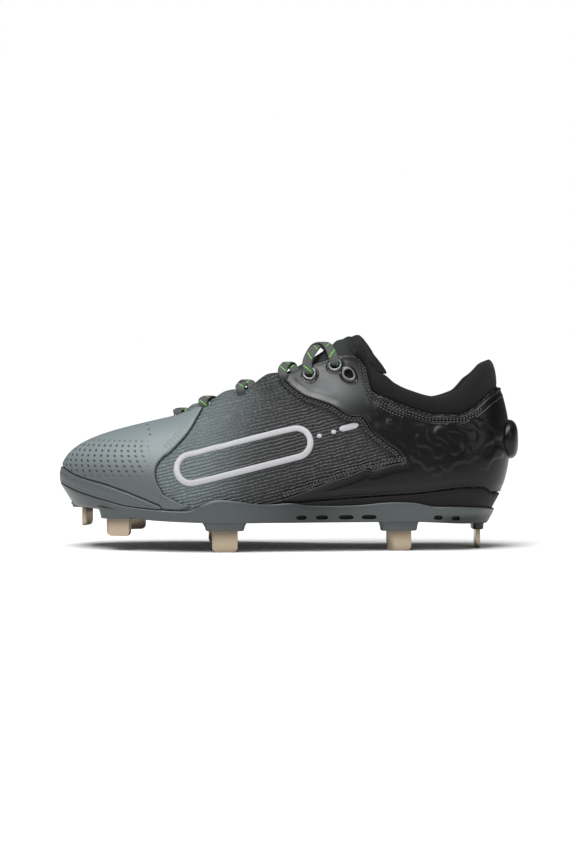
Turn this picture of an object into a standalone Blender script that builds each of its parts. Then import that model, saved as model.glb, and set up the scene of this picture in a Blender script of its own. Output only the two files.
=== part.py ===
"""Low-cut baseball cleat for a left foot, empty and standing on its metal blades.

Metres, +Z up. The toe points to -X and the lateral side faces -Y. The origin is on the floor
under the middle of the shoe. Each piece a maker would put together is an object of its own.
"""

import math
from functools import lru_cache

import bmesh
import bpy
import numpy as np
from mathutils import Vector

# Driving sizes of the last and the upper
FOOT_LENGTH = 0.279
TOE_X = -0.5197 * FOOT_LENGTH
BALL_WIDTH = 0.094
SEAT_HEIGHT = 0.035
UPPER_RISE = 0.090
UPPER_WALL = 0.0018
LASTING_MARGIN = 0.008
CLEARANCE = 0.0003
OVERLAY_GAP = 0.00045

# Overlays, collar and tongue
OVERLAY_THICKNESS = 0.0012
RAND_THICKNESS = 0.0016
COLLAR_THICKNESS = 0.0095
COLLAR_HEIGHT = 0.022
COLLAR_TUCK = 0.011
TONGUE_THICKNESS = 0.0048
TONGUE_LENGTH_SHARE = (0.262, 0.741)
INSOLE_THICKNESS = 0.0040
POD_DEPTH = 0.0040
POD_HEIGHT = 0.025
POD_WIDTH = 0.030

# Sole
MIDSOLE_HEEL = 0.0110
FOAM_EDGE = 0.0016
RIM_EDGE = 0.0011
CUP_WALL = 0.0020
SKIRT_WIDTH = 0.0050
SIDE_SLOT_DEPTH = 0.0030
SIDE_SLOT_HEIGHT = 0.0030
BLADE_WIDTH = 0.0160
BLADE_THICKNESS = 0.0028
BLADE_CORNER = 0.0032
BLADE_ROOT = 0.0030

# Lacing
LACE_WIDTH = 0.0060
LACE_THICKNESS = 0.0015
EYELET_HOLE = 0.0052
EYELET_RING = 0.0092
EYELET_RISE = 0.0012
EYELET_INSET = 0.0085

# Curves of the outline's two ends
TOE_ROUND = 0.30
TOE_POWER = 2.2
HEEL_ROUND = 0.13
HEEL_POWER = 2.0
THROAT_FRONT = 0.245
THROAT_ROUND = 0.20
FAN_END = 0.40

AROUND_HALF = 27
ROWS_UP = 8
INNER_ROWS = (8, 7, 6, 4, 2, 1)

UP = Vector((0.0, 0.0, 1.0))


class Table:
    """Named columns read at any station by a monotone cubic, so that nothing overshoots between rows."""

    def __init__(self, columns, rows):
        data = np.array(rows, float)
        self.stations = [float(x) for x in data[:, 0]]
        self.columns = {}
        for index, name in enumerate(columns[1:], start=1):
            values = [float(x) for x in data[:, index]]
            self.columns[name] = (values, self._slopes(values))

    def _slopes(self, values):
        steps = np.diff(self.stations)
        rates = np.diff(values) / steps
        slopes = [float(rates[0])]
        for before, after, run_before, run_after in zip(rates, rates[1:], steps, steps[1:]):
            if before * after <= 0:
                slopes.append(0.0)
                continue
            weight_before = 2 * run_after + run_before
            weight_after = run_after + 2 * run_before
            total = weight_before + weight_after
            slopes.append(float(total / (weight_before / before + weight_after / after)))
        return slopes + [float(rates[-1])]

    def __call__(self, name, at):
        values, slopes = self.columns[name]
        stations = self.stations
        at = min(max(at, stations[0]), stations[-1])
        index = min(sum(s <= at for s in stations) - 1, len(stations) - 2)
        run = stations[index + 1] - stations[index]
        t = (at - stations[index]) / run
        return (
            values[index] * (1 + 2 * t) * (1 - t) ** 2
            + slopes[index] * run * t * (1 - t) ** 2
            + values[index + 1] * t * t * (3 - 2 * t)
            + slopes[index + 1] * run * t * t * (t - 1)
        )


# Every "at" is a share of the foot's length from the toe. Widths are shares of the ball width.
PLAN = Table(
    ("at", "centre", "lateral", "medial"),
    (
        (0.00, 0.112, 0.447, 0.404),
        (0.10, 0.090, 0.479, 0.404),
        (0.20, 0.064, 0.500, 0.425),
        (0.30, 0.037, 0.516, 0.452),
        (0.38, 0.021, 0.510, 0.457),
        (0.50, 0.006, 0.436, 0.400),
        (0.60, 0.000, 0.383, 0.333),
        (0.70, 0.005, 0.356, 0.309),
        (0.80, 0.016, 0.346, 0.319),
        (0.90, 0.021, 0.335, 0.330),
        (1.00, 0.027, 0.325, 0.325),
    ),
)

# The feather line above the floor, as a share of the seat height.
FEATHER = Table(
    ("at", "height"),
    (
        (0.000, 1.194),
        (0.043, 1.054),
        (0.109, 0.906),
        (0.163, 0.803),
        (0.237, 0.749),
        (0.284, 0.729),
        (0.350, 0.729),
        (0.450, 0.786),
        (0.550, 0.866),
        (0.680, 0.943),
        (0.800, 0.994),
        (0.900, 1.014),
        (1.000, 0.986),
    ),
)

# The upper's top edge: throat, eyestay corner and topline. Half-widths are shares of the ball
# width, and the rise above the feather line is a share of the upper's rise.
TOP_EDGE = Table(
    ("at", "half", "rise"),
    (
        (0.245, 0.085, 0.620),
        (0.307, 0.105, 0.693),
        (0.361, 0.118, 0.759),
        (0.404, 0.128, 0.800),
        (0.446, 0.139, 0.839),
        (0.521, 0.160, 0.902),
        (0.588, 0.180, 0.961),
        (0.652, 0.200, 1.000),
        (0.679, 0.211, 0.971),
        (0.691, 0.221, 0.920),
        (0.700, 0.234, 0.830),
        (0.711, 0.252, 0.728),
        (0.732, 0.270, 0.694),
        (0.793, 0.297, 0.607),
        (0.854, 0.302, 0.552),
        (0.900, 0.302, 0.547),
        (0.936, 0.300, 0.589),
        (0.976, 0.296, 0.697),
        (1.000, 0.292, 0.757),
    ),
)

# How full the sides are: the two inner handles of each side curve. Outward reaches are shares of
# the ball width, and heights are shares of that curve's own rise.
FULLNESS = Table(
    ("at", "low_out", "low_up", "high_out", "high_down"),
    (
        (0.00, 0.034, 0.62, 0.440, 0.24),
        (0.10, 0.046, 0.54, 0.330, 0.19),
        (0.20, 0.046, 0.50, 0.260, 0.14),
        (0.30, 0.043, 0.48, 0.215, 0.12),
        (0.40, 0.040, 0.45, 0.170, 0.14),
        (0.50, 0.034, 0.42, 0.128, 0.20),
        (0.60, 0.028, 0.38, 0.095, 0.25),
        (0.69, 0.027, 0.35, 0.064, 0.28),
        (0.75, 0.030, 0.34, 0.034, 0.32),
        (0.85, 0.040, 0.33, 0.028, 0.33),
        (0.95, 0.075, 0.32, 0.055, 0.33),
        (1.00, 0.098, 0.32, 0.085, 0.33),
    ),
)

# The sole. Rim and lip are above the feather line and bottom is above the floor, as shares of the
# seat height; foam and skirt depth are shares of the midsole's heel thickness; lean is how far
# the side comes in for each unit down.
SOLE = Table(
    ("at", "rim", "lip", "bottom", "foam", "skirt", "lean"),
    (
        (0.000, 0.000, -0.020, 0.770, 0.27, 0.05, 0.63),
        (0.050, 0.000, -0.020, 0.757, 0.27, 0.05, 0.50),
        (0.110, 0.000, -0.020, 0.715, 0.27, 0.05, 0.35),
        (0.200, 0.000, -0.020, 0.571, 0.27, 0.05, 0.22),
        (0.300, 0.008, -0.020, 0.534, 0.27, 0.06, 0.15),
        (0.333, 0.129, -0.020, 0.527, 0.27, 0.07, 0.13),
        (0.365, 0.205, -0.020, 0.522, 0.27, 0.08, 0.12),
        (0.408, 0.155, -0.020, 0.520, 0.27, 0.12, 0.10),
        (0.440, 0.090, -0.020, 0.520, 0.28, 0.20, 0.10),
        (0.482, 0.040, -0.015, 0.520, 0.30, 0.28, 0.10),
        (0.520, 0.030, 0.000, 0.520, 0.33, 0.34, 0.10),
        (0.565, -0.050, 0.006, 0.520, 0.42, 0.38, 0.10),
        (0.680, -0.114, 0.008, 0.520, 0.68, 0.38, 0.11),
        (0.740, -0.100, 0.012, 0.520, 0.82, 0.34, 0.12),
        (0.800, -0.129, 0.020, 0.520, 0.92, 0.30, 0.14),
        (0.850, -0.215, 0.050, 0.505, 1.00, 0.30, 0.18),
        (0.920, -0.232, 0.108, 0.477, 1.00, 0.32, 0.28),
        (0.950, -0.240, 0.112, 0.471, 1.00, 0.32, 0.36),
        (0.975, -0.250, 0.025, 0.460, 1.00, 0.32, 0.46),
        (1.000, -0.269, 0.010, 0.443, 1.00, 0.32, 0.55),
    ),
)

# The vamp overlay's rear edge, from the feather line (up 0) to the throat (up 1).
VAMP_SEAM = Table(
    ("up", "at"),
    (
        (0.000, 0.305),
        (0.064, 0.271),
        (0.107, 0.244),
        (0.175, 0.228),
        (0.256, 0.224),
        (0.310, 0.227),
        (0.390, 0.240),
        (0.495, 0.267),
        (0.670, 0.301),
        (1.000, 0.332),
    ),
)

# The quarter overlay's open front: where its upper arm starts and its lower arm ends, as shares
# of the side curve up from the feather line. The two meet at the fork.
QUARTER_FORK = 0.785
QUARTER_ARMS = Table(
    ("at", "lower", "upper"),
    (
        (0.508, 0.030, 0.960),
        (0.530, 0.036, 0.800),
        (0.562, 0.046, 0.690),
        (0.600, 0.062, 0.610),
        (0.660, 0.096, 0.510),
        (0.715, 0.150, 0.560),
        (0.745, 0.200, 0.515),
        (0.770, 0.270, 0.460),
        (0.785, 0.360, 0.360),
    ),
)

# The top of the toe rand above the feather line, as a share of the seat height.
RAND_TOP = Table(
    ("at", "height"),
    (
        (0.000, 0.292),
        (0.043, 0.272),
        (0.108, 0.285),
        (0.154, 0.262),
        (0.188, 0.196),
        (0.240, 0.062),
    ),
)

# The padded collar's rim above the upper's edge, as a share of the collar height, and its
# thickness as a share of the collar's own.
COLLAR = Table(
    ("at", "height", "thick"),
    (
        (0.735, 0.52, 0.45),
        (0.760, 0.56, 0.62),
        (0.800, 0.54, 0.90),
        (0.850, 0.56, 1.00),
        (0.900, 0.74, 1.00),
        (0.940, 1.00, 1.00),
        (0.975, 0.98, 0.95),
        (1.000, 0.86, 0.90),
    ),
)
COLLAR_FRONT = 0.735

# The tongue's crown above the floor, as a share of the seat height plus the upper's rise.
TONGUE = Table(
    ("at", "crown"),
    (
        (0.262, 0.672),
        (0.280, 0.684),
        (0.305, 0.712),
        (0.333, 0.744),
        (0.360, 0.778),
        (0.400, 0.812),
        (0.450, 0.856),
        (0.520, 0.914),
        (0.585, 0.984),
        (0.622, 1.036),
        (0.650, 1.068),
        (0.680, 1.078),
        (0.710, 1.080),
        (0.741, 1.070),
    ),
)
TONGUE_TOP_MIDDLE = 0.681
TONGUE_TUCK = 0.0065
TONGUE_FREE = 0.672
TONGUE_LIP = 0.76
TONGUE_DROOP = 0.0030

# Rows of the lacing: where each eyelet pair sits, and how far each crossing's middle stands off
# the tongue, as a multiple of the lace's thickness.
EYELET_ROWS = (0.255, 0.302, 0.376, 0.473, 0.570, 0.627)
SPARE_EYELET_PITCH = 0.0097
SPARE_EYELET_TURN = -42
RINGED_ROWS = 2
CROSS_LIFTS = (3.0, 2.4, 2.4, 3.0, 4.8)

# Blades: name, place along as a share of the foot's length and across as a share of the ball
# width, heading of the blade's flat, its foot above the floor as a share of the seat height, the
# boss's foot likewise, the boss's length and depth as multiples of the blade's width, the short
# wing's share of that width and its bend.
BLADES = (
    ("toe", 0.0500, 0.074, 62, 0.394, 0.735, 1.12, 0.62, 0.45, 40),
    ("toe_lateral", 0.1398, -0.282, -22, 0.262, 0.577, 1.44, 0.75, 0.30, 25),
    ("toe_medial", 0.1559, 0.372, 18, 0.262, 0.577, 1.44, 0.75, 0.30, -25),
    ("ball_lateral", 0.3792, -0.423, 3, 0.0, 0.380, 1.50, 0.72, 0.0, 0),
    ("ball_medial", 0.3606, 0.404, -3, 0.0, 0.380, 1.50, 0.72, 0.0, 0),
    ("heel_lateral", 0.7681, -0.277, 8, 0.0, 0.360, 1.44, 0.66, 0.38, -46),
    ("heel_medial", 0.7760, 0.279, -8, 0.0, 0.360, 1.44, 0.66, 0.38, 46),
    ("heel_rear", 0.9541, 0.021, 90, 0.0, 0.342, 1.31, 0.47, 0.0, 0),
)

# Slots in the plate's side: middle and length as shares of the foot's length.
SIDE_SLOTS = (
    (0.548, 0.024),
    (0.594, 0.028),
    (0.648, 0.034),
    (0.700, 0.034),
    (0.856, 0.020),
    (0.896, 0.020),
)


def shared(value, low, high):
    """Smooth step from 0 at low to 1 at high."""
    t = min(max((value - low) / (high - low), 0.0), 1.0)
    return t * t * (3 - 2 * t)


def round_end(distance, run, power):
    """Width factor of a rounded end, 0 at the tip and 1 once the run is over."""
    return (1 - max(0.0, 1 - distance / run) ** power) ** (1 / power)


def station_of(u):
    """Share of the foot's length for a place round the outline: 0 heel, 0.5 toe, 1 heel again."""
    return (1 + math.cos(2 * math.pi * u)) / 2


def around_of(at, side):
    """Place round the outline of a station on one side (-1 lateral, 1 medial)."""
    half = math.acos(min(max(2 * at - 1, -1.0), 1.0)) / (2 * math.pi)
    return half if side < 0 else 1 - half


def side_of(u):
    return -1 if (u % 1.0) < 0.5 else 1


def along(at):
    """X of a station."""
    return TOE_X + at * FOOT_LENGTH


def feather_height(at):
    return FEATHER("height", at) * SEAT_HEIGHT


def feather_point(u):
    """Point of the feather line, where the upper turns in under the foot."""
    at = station_of(u)
    side = side_of(u)
    width = PLAN("lateral" if side < 0 else "medial", at)
    width *= round_end(at, TOE_ROUND, TOE_POWER) * round_end(1 - at, HEEL_ROUND, HEEL_POWER)
    return Vector((along(at), (PLAN("centre", at) + side * width) * BALL_WIDTH, feather_height(at)))


@lru_cache(maxsize=None)
def outward(u):
    """Unit plan normal of the feather line."""
    step = 0.0008
    run = feather_point(u + step) - feather_point(u - step)
    return Vector((-run.y, run.x, 0.0)).normalized()


def top_station(at):
    """Station of the top edge above a feather station: the toe's lines fan back to the throat."""
    if at >= FAN_END:
        return at
    gap = FAN_END - THROAT_FRONT
    cubic = (1 - 2 * gap / FAN_END) / FAN_END**2
    square = (gap - cubic * FAN_END**3) / FAN_END**2
    return THROAT_FRONT + square * at**2 + cubic * at**3


def top_point(u):
    """Point of the upper's top edge."""
    at = station_of(u)
    top_at = top_station(at)
    half = TOP_EDGE("half", top_at) * math.sin(math.pi / 2 * min(1.0, math.sqrt(at / THROAT_ROUND)))
    half *= round_end(1 - at, HEEL_ROUND, HEEL_POWER)
    return Vector(
        (
            along(top_at),
            (PLAN("centre", top_at) + side_of(u) * half) * BALL_WIDTH,
            feather_height(top_at) + TOP_EDGE("rise", top_at) * UPPER_RISE,
        )
    )


@lru_cache(maxsize=None)
def side_curve(u):
    """The four control points of the side curve from the feather line to the top edge."""
    at = station_of(u)
    low, high = feather_point(u), top_point(u)
    flat = Vector((low.x - high.x, low.y - high.y, 0.0))
    out = (flat + outward(u) * 0.128 * BALL_WIDTH).normalized()
    rise = high.z - low.z
    low_handle = low + out * FULLNESS("low_out", at) * BALL_WIDTH + UP * FULLNESS("low_up", at) * rise
    high_handle = high + out * FULLNESS("high_out", at) * BALL_WIDTH
    high_handle -= UP * FULLNESS("high_down", at) * rise
    return low, low_handle, high_handle, high


def on_curve(points, v):
    a, b, c, d = points
    w = 1 - v
    return a * w**3 + b * 3 * w * w * v + c * 3 * w * v * v + d * v**3


@lru_cache(maxsize=None)
def skin_normal(u, v):
    """Unit normal of the upper's outer face, pointing out."""
    step_u, step_v = 0.0012, 0.01
    low_v, high_v = max(0.0, v - step_v), min(1.0, v + step_v)
    across = on_curve(side_curve(u), high_v) - on_curve(side_curve(u), low_v)
    round_it = on_curve(side_curve(u + step_u), v) - on_curve(side_curve(u - step_u), v)
    return across.cross(round_it).normalized()


def skin(u, v, offset=0.0):
    """Point of the upper's outer form, moved out by an offset."""
    point = on_curve(side_curve(u), v)
    return point + skin_normal(u, v) * offset if offset else point


def up_share(u, z, offset=0.0):
    """Share of the side curve at which the form, moved out by an offset, reaches a height."""
    low, high = 0.0, 1.0
    for _ in range(22):
        middle = (low + high) / 2
        if skin(u, middle, offset).z < z:
            low = middle
        else:
            high = middle
    return (low + high) / 2


def under_point(u, inward, lift=0.0):
    """Point under the foot, in from the feather line and lifted off the last's own underside."""
    point = feather_point(u) - outward(u) * inward
    point.z = feather_height((point.x - TOE_X) / FOOT_LENGTH) + lift
    return point


def wall_point(u, z, offset):
    """Point at a height, outside the upper's form by an offset, leaning in below the feather line."""
    base = feather_point(u)
    if z > base.z:
        return skin(u, up_share(u, z, offset), offset)
    lean = SOLE("lean", station_of(u))
    point = base + outward(u) * (offset - lean * (base.z - z))
    point.z = z
    return point


def even_round(count):
    """Places from the heel to the toe with even steps along feather line and top edge."""
    fine = [0.5 * i / 1500 for i in range(1501)]
    low = [feather_point(u) for u in fine]
    high = [top_point(u) for u in fine]
    run = [0.0]
    for i in range(1500):
        step = 0.6 * (low[i + 1] - low[i]).length + 0.4 * (high[i + 1] - high[i]).length
        run.append(run[-1] + step)
    wanted = np.linspace(0.0, run[-1], count + 1)
    return [float(x) for x in np.interp(wanted, run, fine)]


HALF_PLACES = even_round(AROUND_HALF)
PLACES = HALF_PLACES + [1 - u for u in HALF_PLACES[-2:0:-1]]


def material(name, colour, roughness, metallic=0.0):
    made = bpy.data.materials.new(name)
    made.use_nodes = True
    shader = made.node_tree.nodes["Principled BSDF"]
    shader.inputs["Base Color"].default_value = (*colour, 1.0)
    shader.inputs["Roughness"].default_value = roughness
    shader.inputs["Metallic"].default_value = metallic
    made.diffuse_color = (*colour, 1.0)
    return made


def finish_object(name, mesh_data, surface, sharp=40):
    """Turns a bmesh into a named object with outward faces and smooth shading."""
    bmesh.ops.recalc_face_normals(mesh_data, faces=mesh_data.faces[:])
    mesh = bpy.data.meshes.new(name)
    mesh_data.to_mesh(mesh)
    mesh_data.free()
    mesh.shade_smooth()
    mesh.set_sharp_from_angle(angle=math.radians(sharp))
    mesh.materials.append(surface)
    made = bpy.data.objects.new(name, mesh)
    bpy.context.scene.collection.objects.link(made)
    return made


def bridge(mesh_data, first, second, closed=True):
    """Quads between two rows of vertices."""
    count = len(first)
    for i in range(count if closed else count - 1):
        j = (i + 1) % count
        mesh_data.faces.new((first[i], first[j], second[j], second[i]))


def ladder_cap(mesh_data, ring):
    """Closes a ring that starts at the heel with strips straight across to its other side."""
    count = len(ring)
    half = count // 2
    mesh_data.faces.new((ring[0], ring[1], ring[count - 1]))
    for i in range(1, half - 1):
        mesh_data.faces.new((ring[i], ring[i + 1], ring[count - i - 1], ring[count - i]))
    mesh_data.faces.new((ring[half - 1], ring[half], ring[half + 1]))


def stacked_solid(name, rings, surface, sharp=40):
    """Solid of rings stacked from one ladder cap to the other."""
    mesh_data = bmesh.new()
    rows = [[mesh_data.verts.new(p) for p in ring] for ring in rings]
    for first, second in zip(rows, rows[1:]):
        bridge(mesh_data, first, second)
    ladder_cap(mesh_data, rows[0])
    ladder_cap(mesh_data, rows[-1])
    return finish_object(name, mesh_data, surface, sharp)


def swept_solid(name, sections, surface, closed=False, sharp=40):
    """Solid of closed cross-sections in a row, capped at its two ends unless it closes on itself."""
    mesh_data = bmesh.new()
    rows = [[mesh_data.verts.new(p) for p in section] for section in sections]
    for first, second in zip(rows, rows[1:]):
        bridge(mesh_data, first, second)
    if closed:
        bridge(mesh_data, rows[-1], rows[0])
    else:
        mesh_data.faces.new(rows[0])
        mesh_data.faces.new(rows[-1])
        bmesh.ops.triangulate(mesh_data, faces=[f for f in mesh_data.faces if len(f.verts) > 4])
    return finish_object(name, mesh_data, surface, sharp)


def shell_solid(name, patches, outer, inner, surface, sharp=40):
    """Sheet of even thickness: patches are grids of keys, and outer and inner give a key's two points."""
    mesh_data = bmesh.new()
    faces_of = {outer: {}, inner: {}}

    def vertex(layer, key):
        known = faces_of[layer]
        rounded = tuple(round(k, 9) for k in key)
        if rounded not in known:
            known[rounded] = mesh_data.verts.new(layer(*key))
        return known[rounded]

    edges = {}
    for grid in patches:
        for row, next_row in zip(grid, grid[1:]):
            for a, b, c, d in zip(row, row[1:], next_row[1:], next_row):
                keys = (a, b, c, d)
                mesh_data.faces.new([vertex(outer, k) for k in keys])
                mesh_data.faces.new([vertex(inner, k) for k in reversed(keys)])
                for one, two in zip(keys, keys[1:] + keys[:1]):
                    name_of = frozenset(tuple(round(x, 9) for x in k) for k in (one, two))
                    edges.setdefault(name_of, []).append((one, two))
    for uses in edges.values():
        if len(uses) == 1:
            one, two = uses[0]
            mesh_data.faces.new(
                (vertex(outer, two), vertex(outer, one), vertex(inner, one), vertex(inner, two))
            )
    return finish_object(name, mesh_data, surface, sharp)


def boolean(target, cutter, operation):
    """Applies a Boolean and removes the cutter."""
    modifier = target.modifiers.new(operation.title(), "BOOLEAN")
    modifier.operation = operation
    modifier.solver = "EXACT"
    modifier.object = cutter
    graph = bpy.context.evaluated_depsgraph_get()
    mesh = bpy.data.meshes.new_from_object(target.evaluated_get(graph))
    target.modifiers.clear()
    target.data = mesh
    bpy.data.objects.remove(cutter)
    clean = bmesh.new()
    clean.from_mesh(mesh)
    bmesh.ops.remove_doubles(clean, verts=clean.verts[:], dist=0.000002)
    clean.to_mesh(mesh)
    clean.free()
    mesh.shade_smooth()
    mesh.set_sharp_from_angle(angle=math.radians(40))


def offset_at(distance):
    """Surface function of the upper's form at a fixed distance."""
    return lambda u, v: skin(u, v, distance)


def build_upper(surface):
    """One hollow wall from the turned-in lasting margin to the top edge."""
    shares = [(i / ROWS_UP) ** 1.15 for i in range(ROWS_UP + 1)]
    sections = []
    for u in PLACES:
        section = [under_point(u, LASTING_MARGIN)]
        section += [skin(u, v) for v in shares]
        section += [skin(u, v, -UPPER_WALL) for v in (shares[i] for i in INNER_ROWS)]
        section += [under_point(u, UPPER_WALL, UPPER_WALL), under_point(u, LASTING_MARGIN, UPPER_WALL)]
        sections.append(section)
    return swept_solid("upper", sections, surface, closed=True, sharp=50)


def overlay_foot(u):
    """Share of the side curve where the overlays start, just above rim, lip or rand."""
    at = station_of(u)
    seat = max(SOLE("rim", at), SOLE("rim", at + 0.02), SOLE("lip", at), 0.0)
    if at < RAND_TOP.stations[-1]:
        seat = max(seat, RAND_TOP("height", at))
    height = feather_height(at) + seat * SEAT_HEIGHT + 2 * CLEARANCE
    return max(0.012, up_share(u, height, OVERLAY_GAP + OVERLAY_THICKNESS))


def place_at(x_share, v, side):
    """Place round the outline where the skin at a share up reaches a station."""
    low, high = (0.0, 0.5)
    for _ in range(26):
        middle = (low + high) / 2
        u = middle if side < 0 else 1 - middle
        if skin(u, v).x > along(x_share):
            low = middle
        else:
            high = middle
    return low if side < 0 else 1 - low


def build_vamp(surface):
    """Toe-box overlay from seam to seam round the toe."""
    columns, rows = 24, 11
    grid = []
    for row in range(rows + 1):
        share = (row / rows) ** 1.1
        seam = place_at(VAMP_SEAM("at", share), share, -1)
        line = []
        for column in range(columns + 1):
            u = seam + (1 - 2 * seam) * column / columns
            foot = overlay_foot(u)
            line.append((u, foot + (0.995 - foot) * share))
        grid.append(line)
    return shell_solid(
        "vamp_overlay",
        [grid],
        offset_at(OVERLAY_GAP + OVERLAY_THICKNESS),
        offset_at(OVERLAY_GAP),
        surface,
    )


def build_quarter(surface):
    """Moulded overlay round the heel with an upper arm for the eyelets and a lower arm."""
    rows_low, rows_high = 3, 5
    front = around_of(QUARTER_ARMS.stations[0], -1)
    places = [u for u in HALF_PLACES if u < front - 0.004]
    places += [(places[-1] + front) / 2, front]
    fork = min(range(len(places)), key=lambda i: abs(station_of(places[i]) - QUARTER_FORK))
    shares_low = [i / rows_low for i in range(rows_low + 1)]
    shares_high = [i / rows_high for i in range(rows_high + 1)]
    top = 0.995

    def column(u, meet_low, meet_high):
        foot = overlay_foot(u)
        meet_low = max(meet_low, foot + 0.010)
        low = [(u, foot + (meet_low - foot) * s) for s in shares_low]
        high = [(u, meet_high + (top - meet_high) * s) for s in shares_high]
        return low, high

    meet = QUARTER_ARMS("lower", QUARTER_FORK)
    back = []
    for i in range(-fork, fork + 1):
        low, high = column(math.copysign(places[abs(i)], i), meet, meet)
        back.append(low + high[1:])
    patches = [back]
    for side in (1, -1):
        first = column(side * places[fork], meet, meet)
        lows, highs = [first[0]], [first[1]]
        for place in places[fork + 1 :]:
            at = station_of(place)
            low, high = column(side * place, QUARTER_ARMS("lower", at), QUARTER_ARMS("upper", at))
            lows.append(low)
            highs.append(high)
        if side < 0:
            lows, highs = lows[::-1], highs[::-1]
        patches += [lows, highs]
    return shell_solid(
        "quarter_overlay",
        patches,
        offset_at(OVERLAY_GAP + OVERLAY_THICKNESS),
        offset_at(OVERLAY_GAP),
        surface,
    )


def build_rand(surface):
    """Rubber band round the toe, from the feather line up."""
    columns, rows = 24, 2
    first = around_of(RAND_TOP.stations[-1], -1)
    offset = CLEARANCE + RAND_THICKNESS
    grid = []
    for column in range(columns + 1):
        u = first + (1 - 2 * first) * column / columns
        base = feather_height(station_of(u))
        foot = up_share(u, base + CLEARANCE, offset)
        top = up_share(u, base + RAND_TOP("height", station_of(u)) * SEAT_HEIGHT, offset)
        grid.append([(u, foot + (top - foot) * row / rows) for row in range(rows + 1)])
    return shell_solid("toe_rand", [grid], offset_at(offset), offset_at(CLEARANCE), surface)


def build_heel_pod(surface):
    """Moulded bump on the back of the heel."""
    columns, rows = 8, 4
    seat = OVERLAY_GAP + OVERLAY_THICKNESS + CLEARANCE
    middle_z = feather_height(1.0) + 0.385 * UPPER_RISE
    low, high = middle_z - POD_HEIGHT / 2, middle_z + POD_HEIGHT / 2
    reach = 0.0
    while abs(skin(reach, 0.4).y - skin(0.0, 0.4).y) < POD_WIDTH / 2:
        reach += 0.0005
    spots = {}
    grid = []
    for column in range(columns + 1):
        across = -1 + 2 * column / columns
        line = []
        for row in range(rows + 1):
            rise = -1 + 2 * row / rows
            squeeze = math.sqrt(1 - 0.5 * across**2), math.sqrt(1 - 0.5 * rise**2)
            u = reach * across * squeeze[1]
            z = (low + high) / 2 + POD_HEIGHT / 2 * rise * squeeze[0]
            key = (u, up_share(u, z))
            spots[tuple(round(k, 9) for k in key)] = (across, rise)
            line.append(key)
        grid.append(line)

    def outer(u, v):
        across, rise = spots[(round(u, 9), round(v, 9))]
        dome = (1 - across**4) * (1 - rise**4)
        return skin(u, v, seat + 0.0010 + POD_DEPTH * dome)

    return shell_solid("heel_pod", [grid], outer, offset_at(seat), surface)


def build_collar(surface):
    """Padded collar: tucked in behind the upper's edge and rolled above it."""
    first = min(range(AROUND_HALF), key=lambda i: abs(station_of(HALF_PLACES[i]) - COLLAR_FRONT))
    sections = []
    for step in range(-first, first + 1):
        u = math.copysign(HALF_PLACES[abs(step)], step)
        at = station_of(u)
        edge = skin(u, 1.0)
        rising = (edge - skin(u, 0.96)).normalized()
        over = (rising + UP).normalized()
        out = skin_normal(u, 1.0)
        thick = COLLAR("thick", at) * COLLAR_THICKNESS
        high = COLLAR("height", at) * COLLAR_HEIGHT
        behind = UPPER_WALL + CLEARANCE
        tuck = 1 - 0.04 * COLLAR_TUCK / (edge - skin(u, 0.96)).length
        sections.append(
            [
                skin(u, tuck, -behind - 5 * CLEARANCE),
                skin(u, (1 + tuck) / 2, -behind - 5 * CLEARANCE),
                edge - out * (behind + 2.5 * CLEARANCE) + rising * 0.0006,
                edge - out * 0.0003 + rising * 0.0009,
                edge + over * high * 0.50 + out * 0.0008,
                edge + over * high * 0.86 - out * 0.0006,
                edge + over * high - out * thick * 0.36,
                edge + over * high * 0.88 - out * thick * 0.82,
                edge + over * high * 0.45 - out * thick * 1.10,
                edge - over * high * 0.10 - out * thick * 1.02,
                skin(u, tuck + 0.01, -behind - (thick - behind) * 0.50),
            ]
        )
    return swept_solid("collar", sections, surface)


@lru_cache(maxsize=None)
def tongue_rim():
    """The tongue's two edges: tucked just inside the upper, then free above the collar."""
    start, corner = TONGUE_LENGTH_SHARE
    rows = []
    for step in range(13):
        at = start + (TONGUE_FREE - start) * step / 12
        row = [at]
        for side in (-1, 1):
            for inset in (TONGUE_TUCK, 0.0004):
                u, v = eyelet_place(at, side, inset)
                point = skin(u, v, -UPPER_WALL - 4 * CLEARANCE)
                row += [point.y, point.z]
        rows.append(row)
    drop = [0.0, -TONGUE_DROOP] * 4
    rows.append([corner] + [value + change for value, change in zip(rows[-1][1:], drop)])
    names = ("lateral_y", "lateral_z", "lateral_lip_y", "lateral_lip_z")
    more = ("medial_y", "medial_z", "medial_lip_y", "medial_lip_z")
    return Table(("at", *names, *more), rows)


def tongue_point(share, across):
    """Point of the tongue's outer face: share along it and -1 to 1 across."""
    start, corner = TONGUE_LENGTH_SHARE
    end = TONGUE_TOP_MIDDLE + (corner - TONGUE_TOP_MIDDLE) * across**2
    at = start + (end - start) * share
    rim = tongue_rim()
    word = "lateral" if across < 0 else "medial"
    middle = (rim("lateral_lip_y", at) + rim("medial_lip_y", at)) / 2
    lip = Vector((along(at), rim(word + "_lip_y", at), rim(word + "_lip_z", at)))
    if abs(across) > TONGUE_LIP:
        tuck = Vector((along(at), rim(word + "_y", at), rim(word + "_z", at)))
        return lip.lerp(tuck, (abs(across) - TONGUE_LIP) / (1 - TONGUE_LIP))
    share_out = abs(across) / TONGUE_LIP
    crown = TONGUE("crown", at) * (SEAT_HEIGHT + UPPER_RISE)
    rise = (crown - lip.z) * (1 - share_out**2.1)
    return Vector((along(at), middle + (lip.y - middle) * share_out, lip.z + rise))


def tongue_under(share, across):
    """Point of the tongue's inner face below the outer one; the edges are thinner."""
    step = 0.02
    round_it = tongue_point(share, across + step) - tongue_point(share, across - step)
    forward = tongue_point(min(share + step, 1.0), across) - tongue_point(max(share - step, 0.0), across)
    down = round_it.cross(forward).normalized()
    thick = TONGUE_THICKNESS * (1 - 0.6 * abs(across) ** 4)
    return tongue_point(share, across) + (down if down.z < 0 else -down) * thick


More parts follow.
